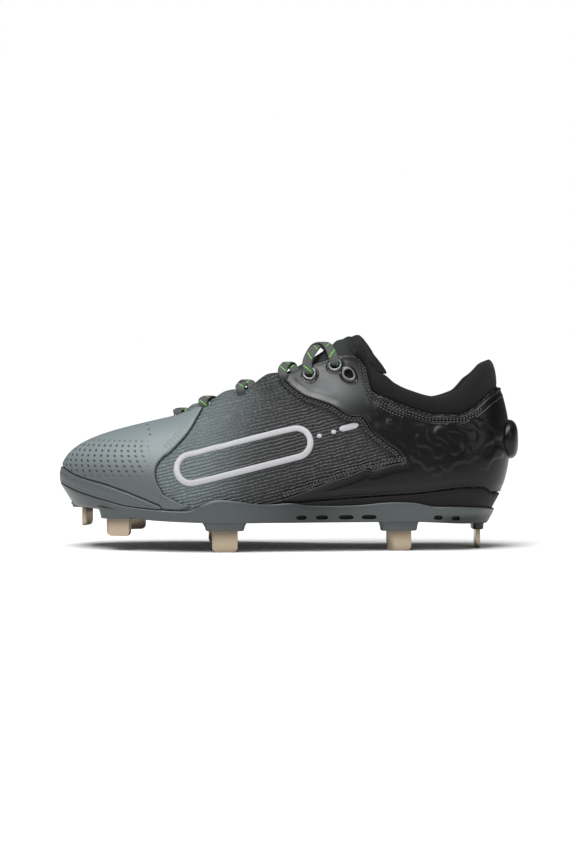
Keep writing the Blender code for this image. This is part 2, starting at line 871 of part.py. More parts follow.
def build_tongue(surface):
    """Arched padded tongue under the laces."""
    across = [-1.0, -TONGUE_LIP, -0.52, -0.26, 0.0, 0.26, 0.52, TONGUE_LIP, 1.0]
    sections = []
    for step in range(15):
        share = step / 14
        sections.append(
            [tongue_point(share, y) for y in across] + [tongue_under(share, y) for y in across[::-1]]
        )
    return swept_solid("tongue", sections, surface)


def build_insole(surface):
    """Sock liner on the lasting margin and the midsole."""
    rings = [[], [], []]
    for u in PLACES:
        seat = UPPER_WALL + CLEARANCE
        rings[0].append(under_point(u, seat + 0.0004, seat))
        rings[1].append(under_point(u, seat + 0.0004, seat + INSOLE_THICKNESS * 0.8))
        rings[2].append(under_point(u, seat + 0.0014, seat + INSOLE_THICKNESS))
    return stacked_solid("insole", rings, surface)


def foam_out(at):
    """How far the midsole's side stands outside the upper: nothing under the forefoot."""
    return FOAM_EDGE * shared(at, 0.47, 0.53)


def build_midsole(surface):
    """Foam wedge: its middle fills the upper's open underside and its lip cups the heel."""
    rings = [[] for _ in range(6)]
    for u in PLACES:
        at = station_of(u)
        base = feather_point(u)
        out = foam_out(at)
        lip = base.z + SOLE("lip", at) * SEAT_HEIGHT
        fill = LASTING_MARGIN + 2 * CLEARANCE
        rings[0].append(wall_point(u, base.z - SOLE("foam", at) * MIDSOLE_HEEL, out))
        rings[1].append(wall_point(u, lip, out))
        rings[2].append(wall_point(u, lip, min(CLEARANCE, out - 0.0008)))
        rings[3].append(under_point(u, -min(CLEARANCE, out - 0.0010), -CLEARANCE))
        rings[4].append(under_point(u, fill, -CLEARANCE))
        rings[5].append(under_point(u, fill + CLEARANCE, UPPER_WALL))
    return stacked_solid("midsole", rings, surface)


def blade_place(blade):
    """Point on the floor under a blade's middle."""
    return Vector((along(blade[1]), blade[2] * BALL_WIDTH, 0.0))


def blade_outline(middle, heading, wing, bend, width):
    """Plan centre line of a blade: a long flat and a short wing bent away from it."""
    angle = math.radians(heading)
    flat = Vector((math.cos(angle), math.sin(angle), 0.0))
    turned = Vector((math.cos(angle + math.radians(bend)), math.sin(angle + math.radians(bend)), 0.0))
    fold = middle + flat * width * (wing - 0.5)
    return fold, flat, turned


def blade_solid(name, blade, width, thickness, corner, low, high, surface):
    """Upright plate along a blade's plan line, its two lower corners rounded."""
    _, _, _, heading, _, _, _, _, wing, bend = blade
    fold, flat, turned = blade_outline(blade_place(blade), heading, wing, bend, BLADE_WIDTH)
    extra = (width - BLADE_WIDTH) / 2
    behind = wing * BLADE_WIDTH + (extra if wing else 0.0)
    ahead = (1 - wing) * BLADE_WIDTH + (extra if wing else 2 * extra)
    start = fold - flat * (0.0 if wing else extra)
    stations = []
    rounding = (0.0, 0.29 * corner, corner) if corner else (0.0,)
    if wing:
        stations += [-behind + r for r in rounding] + [0.0]
    else:
        stations += list(rounding)
    stations += [ahead - r for r in reversed(rounding)]
    ends = (stations[0], stations[-1])
    sections = []
    for station in stations:
        direction = turned if station < 0 else flat
        point = (fold if wing else start) + direction * station
        normal = UP.cross(turned + flat if station == 0.0 and wing else direction).normalized()
        gap = min(station - ends[0], ends[1] - station)
        rise = corner - math.sqrt(max(corner**2 - (corner - min(gap, corner)) ** 2, 0.0))
        side = normal * thickness / 2
        sections.append(
            [
                point + side + UP * (low + rise),
                point - side + UP * (low + rise),
                point - side + UP * high,
                point + side + UP * high,
            ]
        )
    return swept_solid(name, sections, surface, sharp=30)


def boss_solid(blade, surface):
    """Tapered boss that holds a blade's root; its top follows the plate's underside."""
    _, _, _, heading, _, foot, length, depth, _, _ = blade
    angle = math.radians(heading)
    flat = Vector((math.cos(angle), math.sin(angle), 0.0))
    side = UP.cross(flat)
    rings = []
    for scale, level in ((1.0, 0.0), (1.04, 0.35), (1.16, 1.0)):
        ring = []
        for i in range(12):
            turn = 2 * math.pi * i / 12
            ca, sa = math.cos(turn), math.sin(turn)
            x = math.copysign(abs(ca) ** 0.55, ca) * length * BLADE_WIDTH / 2 * scale
            y = math.copysign(abs(sa) ** 0.55, sa) * depth * BLADE_WIDTH / 2 * scale
            point = blade_place(blade) + flat * x + side * y
            at = (point.x - TOE_X) / FOOT_LENGTH
            top = SOLE("bottom", at) * SEAT_HEIGHT + SOLE("skirt", at) * MIDSOLE_HEEL + 0.0014
            low = foot * SEAT_HEIGHT
            point.z = low + (top - low) * level
            ring.append(point)
        rings.append(ring)
    return swept_solid("boss", rings, surface)


def side_slot(mid, length, side, surface):
    """Box that cuts one slot in the plate's side."""
    u = around_of(mid, side)
    bottom = SOLE("bottom", mid) * SEAT_HEIGHT + 0.0016
    centre = wall_point(u, bottom + SIDE_SLOT_HEIGHT / 2, foam_out(mid) + CLEARANCE + CUP_WALL)
    out = outward(u)
    run = UP.cross(out) * length * FOOT_LENGTH / 2
    sections = []
    for share in (-1, 1):
        corners = []
        for reach, rise in ((0.004, -1), (0.004, 1), (-1, 1), (-1, -1)):
            reach = -SIDE_SLOT_DEPTH if reach < 0 else reach
            point = centre + out * reach + UP * rise * SIDE_SLOT_HEIGHT / 2
            corners.append(point + run * share * (1.0 if rise < 0 else 0.82))
        sections.append(corners)
    return swept_solid("slot", sections, surface)


def joined(objects, name):
    """Several separate solids as one object for one Boolean."""
    mesh_data = bmesh.new()
    for part in objects:
        mesh_data.from_mesh(part.data)
        bpy.data.objects.remove(part)
    mesh = bpy.data.meshes.new(name)
    mesh_data.to_mesh(mesh)
    mesh_data.free()
    made = bpy.data.objects.new(name, mesh)
    bpy.context.scene.collection.objects.link(made)
    return made


def build_outsole(surface):
    """Moulded plate: cupped rim, hollow under the arch, bosses with blade pockets and side slots."""
    rings = [[] for _ in range(8)]
    for u in PLACES:
        at = station_of(u)
        base = feather_height(at)
        inner = foam_out(at) + CLEARANCE
        floor = base - SOLE("foam", at) * MIDSOLE_HEEL - CLEARANCE
        rim = base + SOLE("rim", at) * SEAT_HEIGHT
        bottom = SOLE("bottom", at) * SEAT_HEIGHT
        skirt = SOLE("skirt", at) * MIDSOLE_HEEL
        full = inner + CUP_WALL
        for ring, (height, offset) in zip(
            rings,
            (
                (floor, inner),
                (rim, inner),
                (rim, inner + RIM_EDGE),
                (rim - 0.0022, full),
                (bottom + 0.0013, full),
                (bottom, full - 0.0013),
                (bottom, full - SKIRT_WIDTH),
                (bottom + skirt, full - SKIRT_WIDTH - 0.0014 - 0.3 * skirt),
            ),
        ):
            ring.append(wall_point(u, height, offset))
    plate = stacked_solid("outsole", rings, surface)
    boolean(plate, joined([boss_solid(blade, surface) for blade in BLADES], "bosses"), "UNION")
    cuts = [side_slot(mid, length, side, surface) for mid, length in SIDE_SLOTS for side in (-1, 1)]
    for blade in BLADES:
        foot = blade[5] * SEAT_HEIGHT
        cuts.append(
            blade_solid(
                "pocket",
                blade,
                BLADE_WIDTH + 2 * CLEARANCE,
                BLADE_THICKNESS + 2 * CLEARANCE,
                0.0,
                foot - 0.002,
                foot + BLADE_ROOT + CLEARANCE,
                surface,
            )
        )
    boolean(plate, joined(cuts, "cuts"), "DIFFERENCE")
    return plate


def build_blades(surface):
    """Pressed steel blades, each with its root in a pocket of its boss."""
    for blade in BLADES:
        low, high = blade[4] * SEAT_HEIGHT, blade[5] * SEAT_HEIGHT + BLADE_ROOT
        name = f"blade_{blade[0]}"
        blade_solid(name, blade, BLADE_WIDTH, BLADE_THICKNESS, BLADE_CORNER, low, high, surface)


def eyelet_place(at, side, inset):
    """Place (u, v) on the skin at a station, an inset down from the throat's edge."""
    low, high = 0.5, 0.999
    for _ in range(12):
        middle = (low + high) / 2
        u = place_at(at, middle, side)
        if (skin(u, 1.0) - skin(u, middle)).length > inset:
            low = middle
        else:
            high = middle
    return place_at(at, low, side), low


def disc_place(u, v, radius, turn):
    """Place on the skin at a radius and turn from a place."""
    step = 0.001
    round_it = (skin(u + step, v) - skin(u - step, v)) / (2 * step)
    rising = (skin(u, min(v + step, 1.0)) - skin(u, v - step)) / (min(v + step, 1.0) - v + step)
    square = rising - round_it * (rising.dot(round_it) / round_it.length_squared)
    wanted = round_it.normalized() * radius * math.cos(turn) + square.normalized() * radius * math.sin(turn)
    up = wanted.dot(square) / square.length_squared
    du = (wanted - rising * up).dot(round_it) / round_it.length_squared
    return u + du, v + up


def disc_point(u, v, radius, turn, offset):
    """Point on the skin at a radius and turn from a place."""
    return skin(*disc_place(u, v, radius, turn), offset)


def ring_solid(name, u, v, hole, outer, surface):
    """Raised ring round an eyelet, seated on the overlay."""
    seat = OVERLAY_GAP + OVERLAY_THICKNESS + CLEARANCE
    sections = []
    for i in range(12):
        turn = 2 * math.pi * i / 12
        sections.append(
            [
                disc_point(u, v, hole / 2, turn, seat),
                disc_point(u, v, outer / 2, turn, seat),
                disc_point(u, v, outer / 2 - 0.0008, turn, seat + EYELET_RISE),
                disc_point(u, v, hole / 2 + 0.0004, turn, seat + EYELET_RISE),
            ]
        )
    return swept_solid(name, sections, surface, closed=True)


def hole_cutter(places, surface):
    """Round bars through overlay and upper at the eyelets."""
    bars = []
    for u, v in places:
        sections = [
            [disc_point(u, v, EYELET_HOLE / 2, 2 * math.pi * i / 8, offset) for i in range(8)]
            for offset in (-0.005, 0.004)
        ]
        bars.append(swept_solid("bar", sections, surface))
    return joined(bars, "holes")


def ringed_places(side):
    """Places of the ringed eyelets of one side: front one, then the joined pair."""
    front = eyelet_place(EYELET_ROWS[-2], side, 0.0066)
    rear = eyelet_place(EYELET_ROWS[-1], side, 0.0056)
    turn = math.radians(SPARE_EYELET_TURN)
    spare = disc_place(*rear, SPARE_EYELET_PITCH, turn if side > 0 else math.pi - turn)
    return front, rear, spare


def build_eyelets(surface):
    """A ring round the front eyelet and one figure-of-eight ring round the rear pair, each side."""
    for side, word in ((-1, "lateral"), (1, "medial")):
        front, rear, spare = ringed_places(side)
        ring_solid(f"eyelet_{word}_front", *front, EYELET_HOLE, EYELET_RING, surface)
        pair = ring_solid(f"eyelet_{word}_pair", *rear, EYELET_HOLE, EYELET_RING + 0.0018, surface)
        other = ring_solid("spare", *spare, EYELET_HOLE, EYELET_RING + 0.0018, surface)
        boolean(pair, other, "UNION")


def lace_end(row, side, over):
    """Where the lace leaves an eyelet: a crossing's front end lies over the last one's rear end."""
    rear = row >= len(EYELET_ROWS) - RINGED_ROWS
    inset = 0.0028 if rear else EYELET_INSET
    u, v = eyelet_place(EYELET_ROWS[row], side, inset)
    seat = OVERLAY_GAP + OVERLAY_THICKNESS + CLEARANCE + LACE_THICKNESS / 2
    seat += (LACE_THICKNESS + 2 * CLEARANCE) * over
    if rear:
        seat += EYELET_RISE + 2 * CLEARANCE
    return skin(u, v, seat), skin_normal(u, v)


def band(name, first, last, lift, surface):
    """Flat lace from one eyelet over the tongue to the next row on the other side."""
    (start, start_normal), (end, end_normal) = first, last
    middle_x = (start.x + end.x) / 2
    start_at, corner = TONGUE_LENGTH_SHARE
    share = ((middle_x - TOE_X) / FOOT_LENGTH - start_at) / (TONGUE_TOP_MIDDLE - start_at)
    crown = tongue_point(min(max(share, 0.0), 1.0), 0.0).z + lift * LACE_THICKNESS
    arch = crown - (start.z + end.z) / 2
    steps = 7
    path = []
    for i in range(steps + 1):
        s = i / steps
        point = start.lerp(end, s)
        point.z += arch * (1 - abs(2 * s - 1) ** 3.0)
        path.append(point)
    sections = []
    for i, point in enumerate(path):
        s = i / steps
        ahead = (path[min(i + 1, steps)] - path[max(i - 1, 0)]).normalized()
        normal = start_normal.lerp(UP, min(1.0, 2 * s)) if s < 0.5 else UP.lerp(end_normal, 2 * s - 1)
        across = ahead.cross(normal).normalized()
        normal = across.cross(ahead).normalized()
        wide, thick = across * LACE_WIDTH / 2, normal * LACE_THICKNESS / 2
        left, right = point - wide, point + wide
        sections.append([right + thick, left + thick, left - thick, right - thick])
    return swept_solid(name, sections, surface)


def build_laces(surface):
    """Five crossings; each is its two bands as one solid."""
    for row, lift in enumerate(CROSS_LIFTS):
        name = f"lace_cross_{row + 1}"
        one = band(name, lace_end(row, -1, 1), lace_end(row + 1, 1, 0), lift, surface)
        other = band("other", lace_end(row, 1, 1), lace_end(row + 1, -1, 0), lift + 0.5, surface)
        boolean(one, other, "UNION")


def main():
    for item in list(bpy.data.objects):
        bpy.data.objects.remove(item)
    knit = material("knit_fabric", (0.16, 0.18, 0.18), 0.85)
    toe_skin = material("toe_leather", (0.30, 0.37, 0.37), 0.55)
    plastic = material("overlay_plastic", (0.012, 0.012, 0.012), 0.22)
    rand = material("rand_rubber", (0.10, 0.13, 0.13), 0.50)
    plate = material("plate_plastic", (0.10, 0.13, 0.13), 0.40)
    foam = material("midsole_foam", (0.020, 0.018, 0.017), 0.65)
    pad = material("collar_fabric", (0.02, 0.02, 0.02), 0.80)
    tongue = material("tongue_fabric", (0.12, 0.13, 0.13), 0.85)
    liner = material("liner_fabric", (0.03, 0.03, 0.03), 0.85)
    steel = material("blade_steel", (0.42, 0.35, 0.25), 0.30, 1.0)
    ring = material("eyelet_plastic", (0.010, 0.010, 0.010), 0.30)
    lace = material("lace_fabric", (0.22, 0.22, 0.22), 0.80)

    build_outsole(plate)
    build_blades(steel)
    build_midsole(foam)
    build_insole(liner)
    upper = build_upper(knit)
    build_vamp(toe_skin)
    quarter = build_quarter(plastic)
    holes = ringed_places(-1) + ringed_places(1)
    boolean(upper, hole_cutter(holes, knit), "DIFFERENCE")
    boolean(quarter, hole_cutter(holes, plastic), "DIFFERENCE")
    build_rand(rand)
    build_heel_pod(plastic)
    build_collar(pad)
    build_tongue(tongue)
    build_eyelets(ring)
    build_laces(lace)


main()
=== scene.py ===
"""Looks of a low-cut baseball cleat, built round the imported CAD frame.

Every piece follows the same last as the solids: a feather line, a top edge and side curves
between them. Millimetre details such as ribs, dashes and weave are in the finishes.
"""

import logging
import math
from dataclasses import dataclass, field
from enum import Enum

import bmesh
import bpy
import numpy as np
from mathutils import Matrix, Vector
from mathutils.kdtree import KDTree

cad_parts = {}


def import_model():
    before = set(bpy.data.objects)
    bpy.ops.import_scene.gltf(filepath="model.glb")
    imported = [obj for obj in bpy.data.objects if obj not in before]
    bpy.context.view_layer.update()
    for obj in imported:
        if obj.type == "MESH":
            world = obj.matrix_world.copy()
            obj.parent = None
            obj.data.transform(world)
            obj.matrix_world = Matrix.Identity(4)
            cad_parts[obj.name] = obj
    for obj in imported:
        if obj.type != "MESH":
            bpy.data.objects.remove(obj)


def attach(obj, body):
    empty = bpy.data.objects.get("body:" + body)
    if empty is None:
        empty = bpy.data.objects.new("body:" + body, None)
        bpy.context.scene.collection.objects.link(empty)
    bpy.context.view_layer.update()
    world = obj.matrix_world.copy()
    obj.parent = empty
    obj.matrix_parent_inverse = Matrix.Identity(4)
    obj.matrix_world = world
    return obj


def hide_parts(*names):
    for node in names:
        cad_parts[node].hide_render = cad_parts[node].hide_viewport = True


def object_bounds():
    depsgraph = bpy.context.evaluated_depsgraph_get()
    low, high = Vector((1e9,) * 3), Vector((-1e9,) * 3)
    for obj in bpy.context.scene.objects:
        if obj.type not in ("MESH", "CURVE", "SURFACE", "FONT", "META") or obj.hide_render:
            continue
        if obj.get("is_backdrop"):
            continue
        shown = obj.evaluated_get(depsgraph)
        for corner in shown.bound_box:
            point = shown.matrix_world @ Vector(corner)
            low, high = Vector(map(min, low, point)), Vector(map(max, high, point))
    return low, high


LOG = logging.getLogger("cleat")

FOOT_LENGTH = 0.279
TOE_X = -0.5197 * FOOT_LENGTH
BALL_WIDTH = 0.094
SEAT_HEIGHT = 0.035
UPPER_RISE = 0.090
UPPER_WALL = 0.0018
LASTING_MARGIN = 0.008
CLEARANCE = 0.0003
OVERLAY_SEAT = 0.00045
OVERLAY_THICKNESS = 0.0012
RAND_THICKNESS = 0.0016
COLLAR_THICKNESS = 0.0095
COLLAR_HEIGHT = 0.022
COLLAR_TUCK = 0.011
TONGUE_THICKNESS = 0.0048
INSOLE_THICKNESS = 0.0040
MIDSOLE_HEEL = 0.0110
FOAM_EDGE = 0.0016
CUP_WALL = 0.0020
SKIRT_WIDTH = 0.0050
BLADE_WIDTH = 0.0160
BLADE_THICKNESS = 0.0028
LACE_WIDTH = 0.0060
LACE_THICKNESS = 0.0015
RIM_EDGE = 0.0011
SIDE_SLOT_DEPTH, SIDE_SLOT_HEIGHT = 0.0030, 0.0032
BLADE_CORNER, BLADE_ROOT = 0.0032, 0.0030
EYELET_HOLE, EYELET_RING, EYELET_RISE, EYELET_INSET = 0.0052, 0.0092, 0.0012, 0.0085
POD_DEPTH, POD_HEIGHT, POD_WIDTH = 0.0040, 0.025, 0.030
TONGUE_START, TONGUE_CORNER = 0.262, 0.741
TOE_ROUND, TOE_POWER = 0.30, 2.2
HEEL_ROUND, HEEL_POWER = 0.13, 2.0
THROAT_FRONT, THROAT_ROUND, FAN_END = 0.245, 0.20, 0.40
UP = np.array((0.0, 0.0, 1.0))


class Side(Enum):
    """The two sides of the shoe, as the sign of Y."""

    LATERAL = -1
    MEDIAL = 1


class Texture(Enum):
    """What a finish's fine relief is."""

    SMOOTH = "smooth"
    GRAIN = "grain"
    RIBS = "ribs"
    DASHES = "dashes"
    WEAVE = "weave"
    FLEECE = "fleece"
    SATIN = "satin"
    ZIGZAG = "zigzag"
    BRUSHED = "brushed"


class Table:
    """Named columns read at any stations by a monotone cubic."""

    def __init__(self, columns: tuple, rows: tuple) -> None:
        data = np.array(rows, float)
        self.stations = data[:, 0]
        self.columns = {}
        for index, name in enumerate(columns[1:], start=1):
            self.columns[name] = (data[:, index], self._slopes(data[:, index]))

    def _slopes(self, values: np.ndarray) -> np.ndarray:
        """Slopes that let nothing overshoot between rows."""
        steps = np.diff(self.stations)
        rates = np.diff(values) / steps
        before, after = rates[:-1], rates[1:]
        heavy, light = 2 * steps[1:] + steps[:-1], steps[1:] + 2 * steps[:-1]
        with np.errstate(divide="ignore", invalid="ignore"):
            inner = (heavy + light) / (heavy / before + light / after)
        inner = np.where(before * after <= 0, 0.0, inner)
        return np.concatenate(([rates[0]], inner, [rates[-1]]))

    def __call__(self, name: str, at: float | np.ndarray) -> np.ndarray:
        values, slopes = self.columns[name]
        at = np.clip(np.asarray(at, float), self.stations[0], self.stations[-1])
        index = np.clip(np.searchsorted(self.stations, at, "right") - 1, 0, len(values) - 2)
        run = self.stations[index + 1] - self.stations[index]
        t = (at - self.stations[index]) / run
        return (
            values[index] * (1 + 2 * t) * (1 - t) ** 2
            + slopes[index] * run * t * (1 - t) ** 2
            + values[index + 1] * t * t * (3 - 2 * t)
            + slopes[index + 1] * run * t * t * (t - 1)
        )


PLAN = Table(
    ("at", "centre", "lateral", "medial"),
    (
        (0.00, 0.112, 0.447, 0.404),
        (0.10, 0.090, 0.479, 0.404),
        (0.20, 0.064, 0.500, 0.425),
        (0.30, 0.037, 0.516, 0.452),
        (0.38, 0.021, 0.510, 0.457),
        (0.50, 0.006, 0.436, 0.400),
        (0.60, 0.000, 0.383, 0.333),
        (0.70, 0.005, 0.356, 0.309),
        (0.80, 0.016, 0.346, 0.319),
        (0.90, 0.021, 0.335, 0.330),
        (1.00, 0.027, 0.325, 0.325),
    ),
)

# The feather line above the floor, as a share of the seat height.
FEATHER = Table(
    ("at", "height"),
    (
        (0.000, 1.194),
        (0.043, 1.054),
        (0.109, 0.906),
        (0.163, 0.803),
        (0.237, 0.749),
        (0.284, 0.729),
        (0.350, 0.729),
        (0.450, 0.786),
        (0.550, 0.866),
        (0.680, 0.943),
        (0.800, 0.994),
        (0.900, 1.014),
        (1.000, 0.986),
    ),
)

# The upper's top edge: throat, eyestay corner and topline. Half-widths are shares of the ball
# width, and the rise above the feather line is a share of the upper's rise.
TOP_EDGE = Table(
    ("at", "half", "rise"),
    (
        (0.245, 0.085, 0.620),
        (0.307, 0.105, 0.693),
        (0.361, 0.118, 0.759),
        (0.404, 0.128, 0.800),
        (0.446, 0.139, 0.839),
        (0.521, 0.160, 0.902),
        (0.588, 0.180, 0.961),
        (0.652, 0.200, 1.000),
        (0.679, 0.211, 0.971),
        (0.691, 0.221, 0.920),
        (0.700, 0.234, 0.830),
        (0.711, 0.252, 0.728),
        (0.732, 0.270, 0.694),
        (0.793, 0.297, 0.607),
        (0.854, 0.302, 0.552),
        (0.900, 0.302, 0.547),
        (0.936, 0.300, 0.589),
        (0.976, 0.296, 0.697),
        (1.000, 0.292, 0.757),
    ),
)

# How full the sides are: the two inner handles of each side curve. Outward reaches are shares of
# the ball width, and heights are shares of that curve's own rise.
FULLNESS = Table(
    ("at", "low_out", "low_up", "high_out", "high_down"),
    (
        (0.00, 0.034, 0.62, 0.440, 0.24),
        (0.10, 0.046, 0.54, 0.330, 0.19),
        (0.20, 0.046, 0.50, 0.260, 0.14),
        (0.30, 0.043, 0.48, 0.215, 0.12),
        (0.40, 0.040, 0.45, 0.170, 0.14),
        (0.50, 0.034, 0.42, 0.128, 0.20),
        (0.60, 0.028, 0.38, 0.095, 0.25),
        (0.69, 0.027, 0.35, 0.064, 0.28),
        (0.75, 0.030, 0.34, 0.034, 0.32),
        (0.85, 0.040, 0.33, 0.028, 0.33),
        (0.95, 0.075, 0.32, 0.055, 0.33),
        (1.00, 0.098, 0.32, 0.085, 0.33),
    ),
)

# The sole. Rim and lip are above the feather line and bottom is above the floor, as shares of the
# seat height; foam and skirt depth are shares of the midsole's heel thickness; lean is how far
# the side comes in for each unit down.
SOLE = Table(
    ("at", "rim", "lip", "bottom", "foam", "skirt", "lean"),
    (
        (0.000, 0.000, -0.020, 0.770, 0.27, 0.05, 0.63),
        (0.050, 0.000, -0.020, 0.757, 0.27, 0.05, 0.50),
        (0.110, 0.000, -0.020, 0.715, 0.27, 0.05, 0.35),
        (0.200, 0.000, -0.020, 0.571, 0.27, 0.05, 0.22),
        (0.300, 0.008, -0.020, 0.534, 0.27, 0.06, 0.15),
        (0.333, 0.129, -0.020, 0.527, 0.27, 0.07, 0.13),
        (0.365, 0.205, -0.020, 0.522, 0.27, 0.08, 0.12),
        (0.408, 0.155, -0.020, 0.520, 0.27, 0.12, 0.10),
        (0.440, 0.090, -0.020, 0.520, 0.28, 0.20, 0.10),
        (0.482, 0.040, -0.015, 0.520, 0.30, 0.28, 0.10),
        (0.520, 0.030, 0.000, 0.520, 0.33, 0.34, 0.10),
        (0.565, -0.050, 0.006, 0.520, 0.42, 0.38, 0.10),
        (0.680, -0.114, 0.008, 0.520, 0.68, 0.38, 0.11),
        (0.740, -0.100, 0.012, 0.520, 0.82, 0.34, 0.12),
        (0.800, -0.129, 0.020, 0.520, 0.92, 0.30, 0.14),
        (0.850, -0.215, 0.050, 0.505, 1.00, 0.30, 0.18),
        (0.920, -0.232, 0.108, 0.477, 1.00, 0.32, 0.28),
        (0.950, -0.240, 0.112, 0.471, 1.00, 0.32, 0.36),
        (0.975, -0.250, 0.025, 0.460, 1.00, 0.32, 0.46),
        (1.000, -0.269, 0.010, 0.443, 1.00, 0.32, 0.55),
    ),
)

# The vamp overlay's rear edge, from the feather line (up 0) to the throat (up 1).
VAMP_SEAM = Table(
    ("up", "at"),
    (
        (0.000, 0.305),
        (0.064, 0.271),
        (0.107, 0.244),
        (0.175, 0.228),
        (0.256, 0.224),
        (0.310, 0.227),
        (0.390, 0.240),
        (0.495, 0.267),
        (0.670, 0.301),
        (1.000, 0.332),
    ),
)

# The quarter overlay's open front: where its upper arm starts and its lower arm ends, as shares
# of the side curve up from the feather line. The two meet at the fork.
QUARTER_FORK = 0.785
QUARTER_ARMS = Table(
    ("at", "lower", "upper"),
    (
        (0.508, 0.034, 0.985),
        (0.530, 0.048, 0.844),
        (0.562, 0.070, 0.726),
        (0.583, 0.088, 0.689),
        (0.615, 0.116, 0.634),
        (0.660, 0.150, 0.545),
        (0.711, 0.240, 0.590),
        (0.744, 0.305, 0.535),
        (0.770, 0.345, 0.470),
        (0.785, 0.360, 0.360),
    ),
)

# The top of the toe rand above the feather line, as a share of the seat height.
RAND_TOP = Table(
    ("at", "height"),
    (
        (0.000, 0.292),
        (0.043, 0.272),
        (0.108, 0.285),
        (0.154, 0.262),
        (0.188, 0.196),
        (0.240, 0.062),
    ),
)

# The padded collar's rim above the upper's edge, as a share of the collar height, and its
# thickness as a share of the collar's own.
COLLAR = Table(
    ("at", "height", "thick"),
    (
        (0.735, 0.52, 0.45),
        (0.760, 0.56, 0.62),
        (0.800, 0.54, 0.90),
        (0.850, 0.56, 1.00),
        (0.900, 0.74, 1.00),
        (0.940, 1.00, 1.00),
        (0.975, 0.98, 0.95),
        (1.000, 0.86, 0.90),
    ),
)
COLLAR_FRONT = 0.735
# The tongue's crown above the floor, as a share of the seat height plus the upper's rise.
TONGUE = Table(
    ("at", "crown"),
    (
        (0.262, 0.672),
        (0.280, 0.684),
        (0.305, 0.712),
        (0.333, 0.744),
        (0.360, 0.778),
        (0.400, 0.812),
        (0.450, 0.856),
        (0.520, 0.914),
        (0.585, 0.984),
        (0.622, 1.036),
        (0.650, 1.068),
        (0.680, 1.078),
        (0.710, 1.080),
        (0.741, 1.070),
    ),
)
TONGUE_TOP_MIDDLE = 0.681
TONGUE_TUCK = 0.0065
TONGUE_FREE = 0.672
TONGUE_LIP = 0.76
TONGUE_DROOP = 0.0030

# Rows of the lacing: where each eyelet pair sits, and how far each crossing's middle stands off
# the tongue, as a multiple of the lace's thickness.
EYELET_ROWS = (0.255, 0.302, 0.376, 0.473, 0.570, 0.627)
SPARE_EYELET_PITCH = 0.0097
SPARE_EYELET_TURN = -42
RINGED_ROWS = 2
CROSS_LIFTS = (2.3, 1.7, 1.8, 2.4, 2.9)

BLADES = (
    ("toe", 0.0500, 0.074, 62, 0.394, 0.735, 1.12, 0.62, 0.45, 40),
    ("toe_lateral", 0.1398, -0.282, -22, 0.262, 0.577, 1.44, 0.75, 0.30, 25),
    ("toe_medial", 0.1559, 0.372, 18, 0.262, 0.577, 1.44, 0.75, 0.30, -25),
    ("ball_lateral", 0.3792, -0.423, 3, 0.0, 0.380, 1.50, 0.72, 0.0, 0),
    ("ball_medial", 0.3606, 0.404, -3, 0.0, 0.380, 1.50, 0.72, 0.0, 0),
    ("heel_lateral", 0.7681, -0.277, 8, 0.0, 0.360, 1.44, 0.66, 0.38, -46),
    ("heel_medial", 0.7760, 0.279, -8, 0.0, 0.360, 1.44, 0.66, 0.38, 46),
    ("heel_rear", 0.9541, 0.021, 90, 0.0, 0.342, 1.31, 0.47, 0.0, 0),
)
SIDE_SLOTS = (
    (0.548, 0.024),
    (0.594, 0.028),
    (0.648, 0.034),
    (0.700, 0.034),
    (0.856, 0.020),
    (0.896, 0.020),
)


def ease(value: np.ndarray, low: float, high: float) -> np.ndarray:
    """Smooth step from 0 at low to 1 at high."""
    t = np.clip((np.asarray(value, float) - low) / (high - low), 0.0, 1.0)
    return t * t * (3 - 2 * t)


def unit(vectors: np.ndarray) -> np.ndarray:
    """Vectors at length one."""
    return vectors / np.maximum(np.linalg.norm(vectors, axis=-1, keepdims=True), 1e-12)


def lengths(points: np.ndarray) -> np.ndarray:
    """Running length along a row of points, in metres."""
    return np.concatenate(([0.0], np.cumsum(np.linalg.norm(np.diff(points, axis=0), axis=1))))


def resample(points: np.ndarray, count: int) -> np.ndarray:
    """The same polyline with evenly spaced points."""
    run = lengths(points)
    wanted = np.linspace(0.0, run[-1], count)
    return np.stack([np.interp(wanted, run, points[:, i]) for i in range(points.shape[1])], axis=1)


def clustered(count: int, length: float, lip: float = 0.0011) -> np.ndarray:
    """Shares from 0 to 1 with extra rows inside both ends, where an edge rolls over."""
    near = np.array([0.0, 0.18, 0.5, 1.0]) * lip / max(length, 6 * lip)
    inner = np.linspace(near[-1], 1 - near[-1], count)[1:-1]
    return np.concatenate((near, inner, 1 - near[::-1]))


@dataclass(frozen=True)
class Crease:
    """One soft trough or ridge, drawn in the side view: ends, half-width and height in metres."""

    start: tuple
    end: tuple
    half: float
    height: float


CREASES = (
    Crease((-0.060, 0.052), (-0.050, 0.080), 0.0045, -0.0007),
    Crease((-0.047, 0.047), (-0.036, 0.078), 0.0040, -0.0005),
    Crease((-0.020, 0.100), (0.004, 0.078), 0.0045, -0.0008),
    Crease((-0.012, 0.105), (0.012, 0.090), 0.0030, 0.0006),
    Crease((0.004, 0.104), (0.026, 0.094), 0.0045, -0.0009),
    Crease((0.018, 0.102), (0.048, 0.090), 0.0045, -0.0012),
    Crease((0.030, 0.098), (0.056, 0.088), 0.0035, 0.0008),
    Crease((0.048, 0.104), (0.060, 0.088), 0.0040, -0.0009),
    Crease((0.052, 0.082), (0.090, 0.080), 0.0050, -0.0009),
)


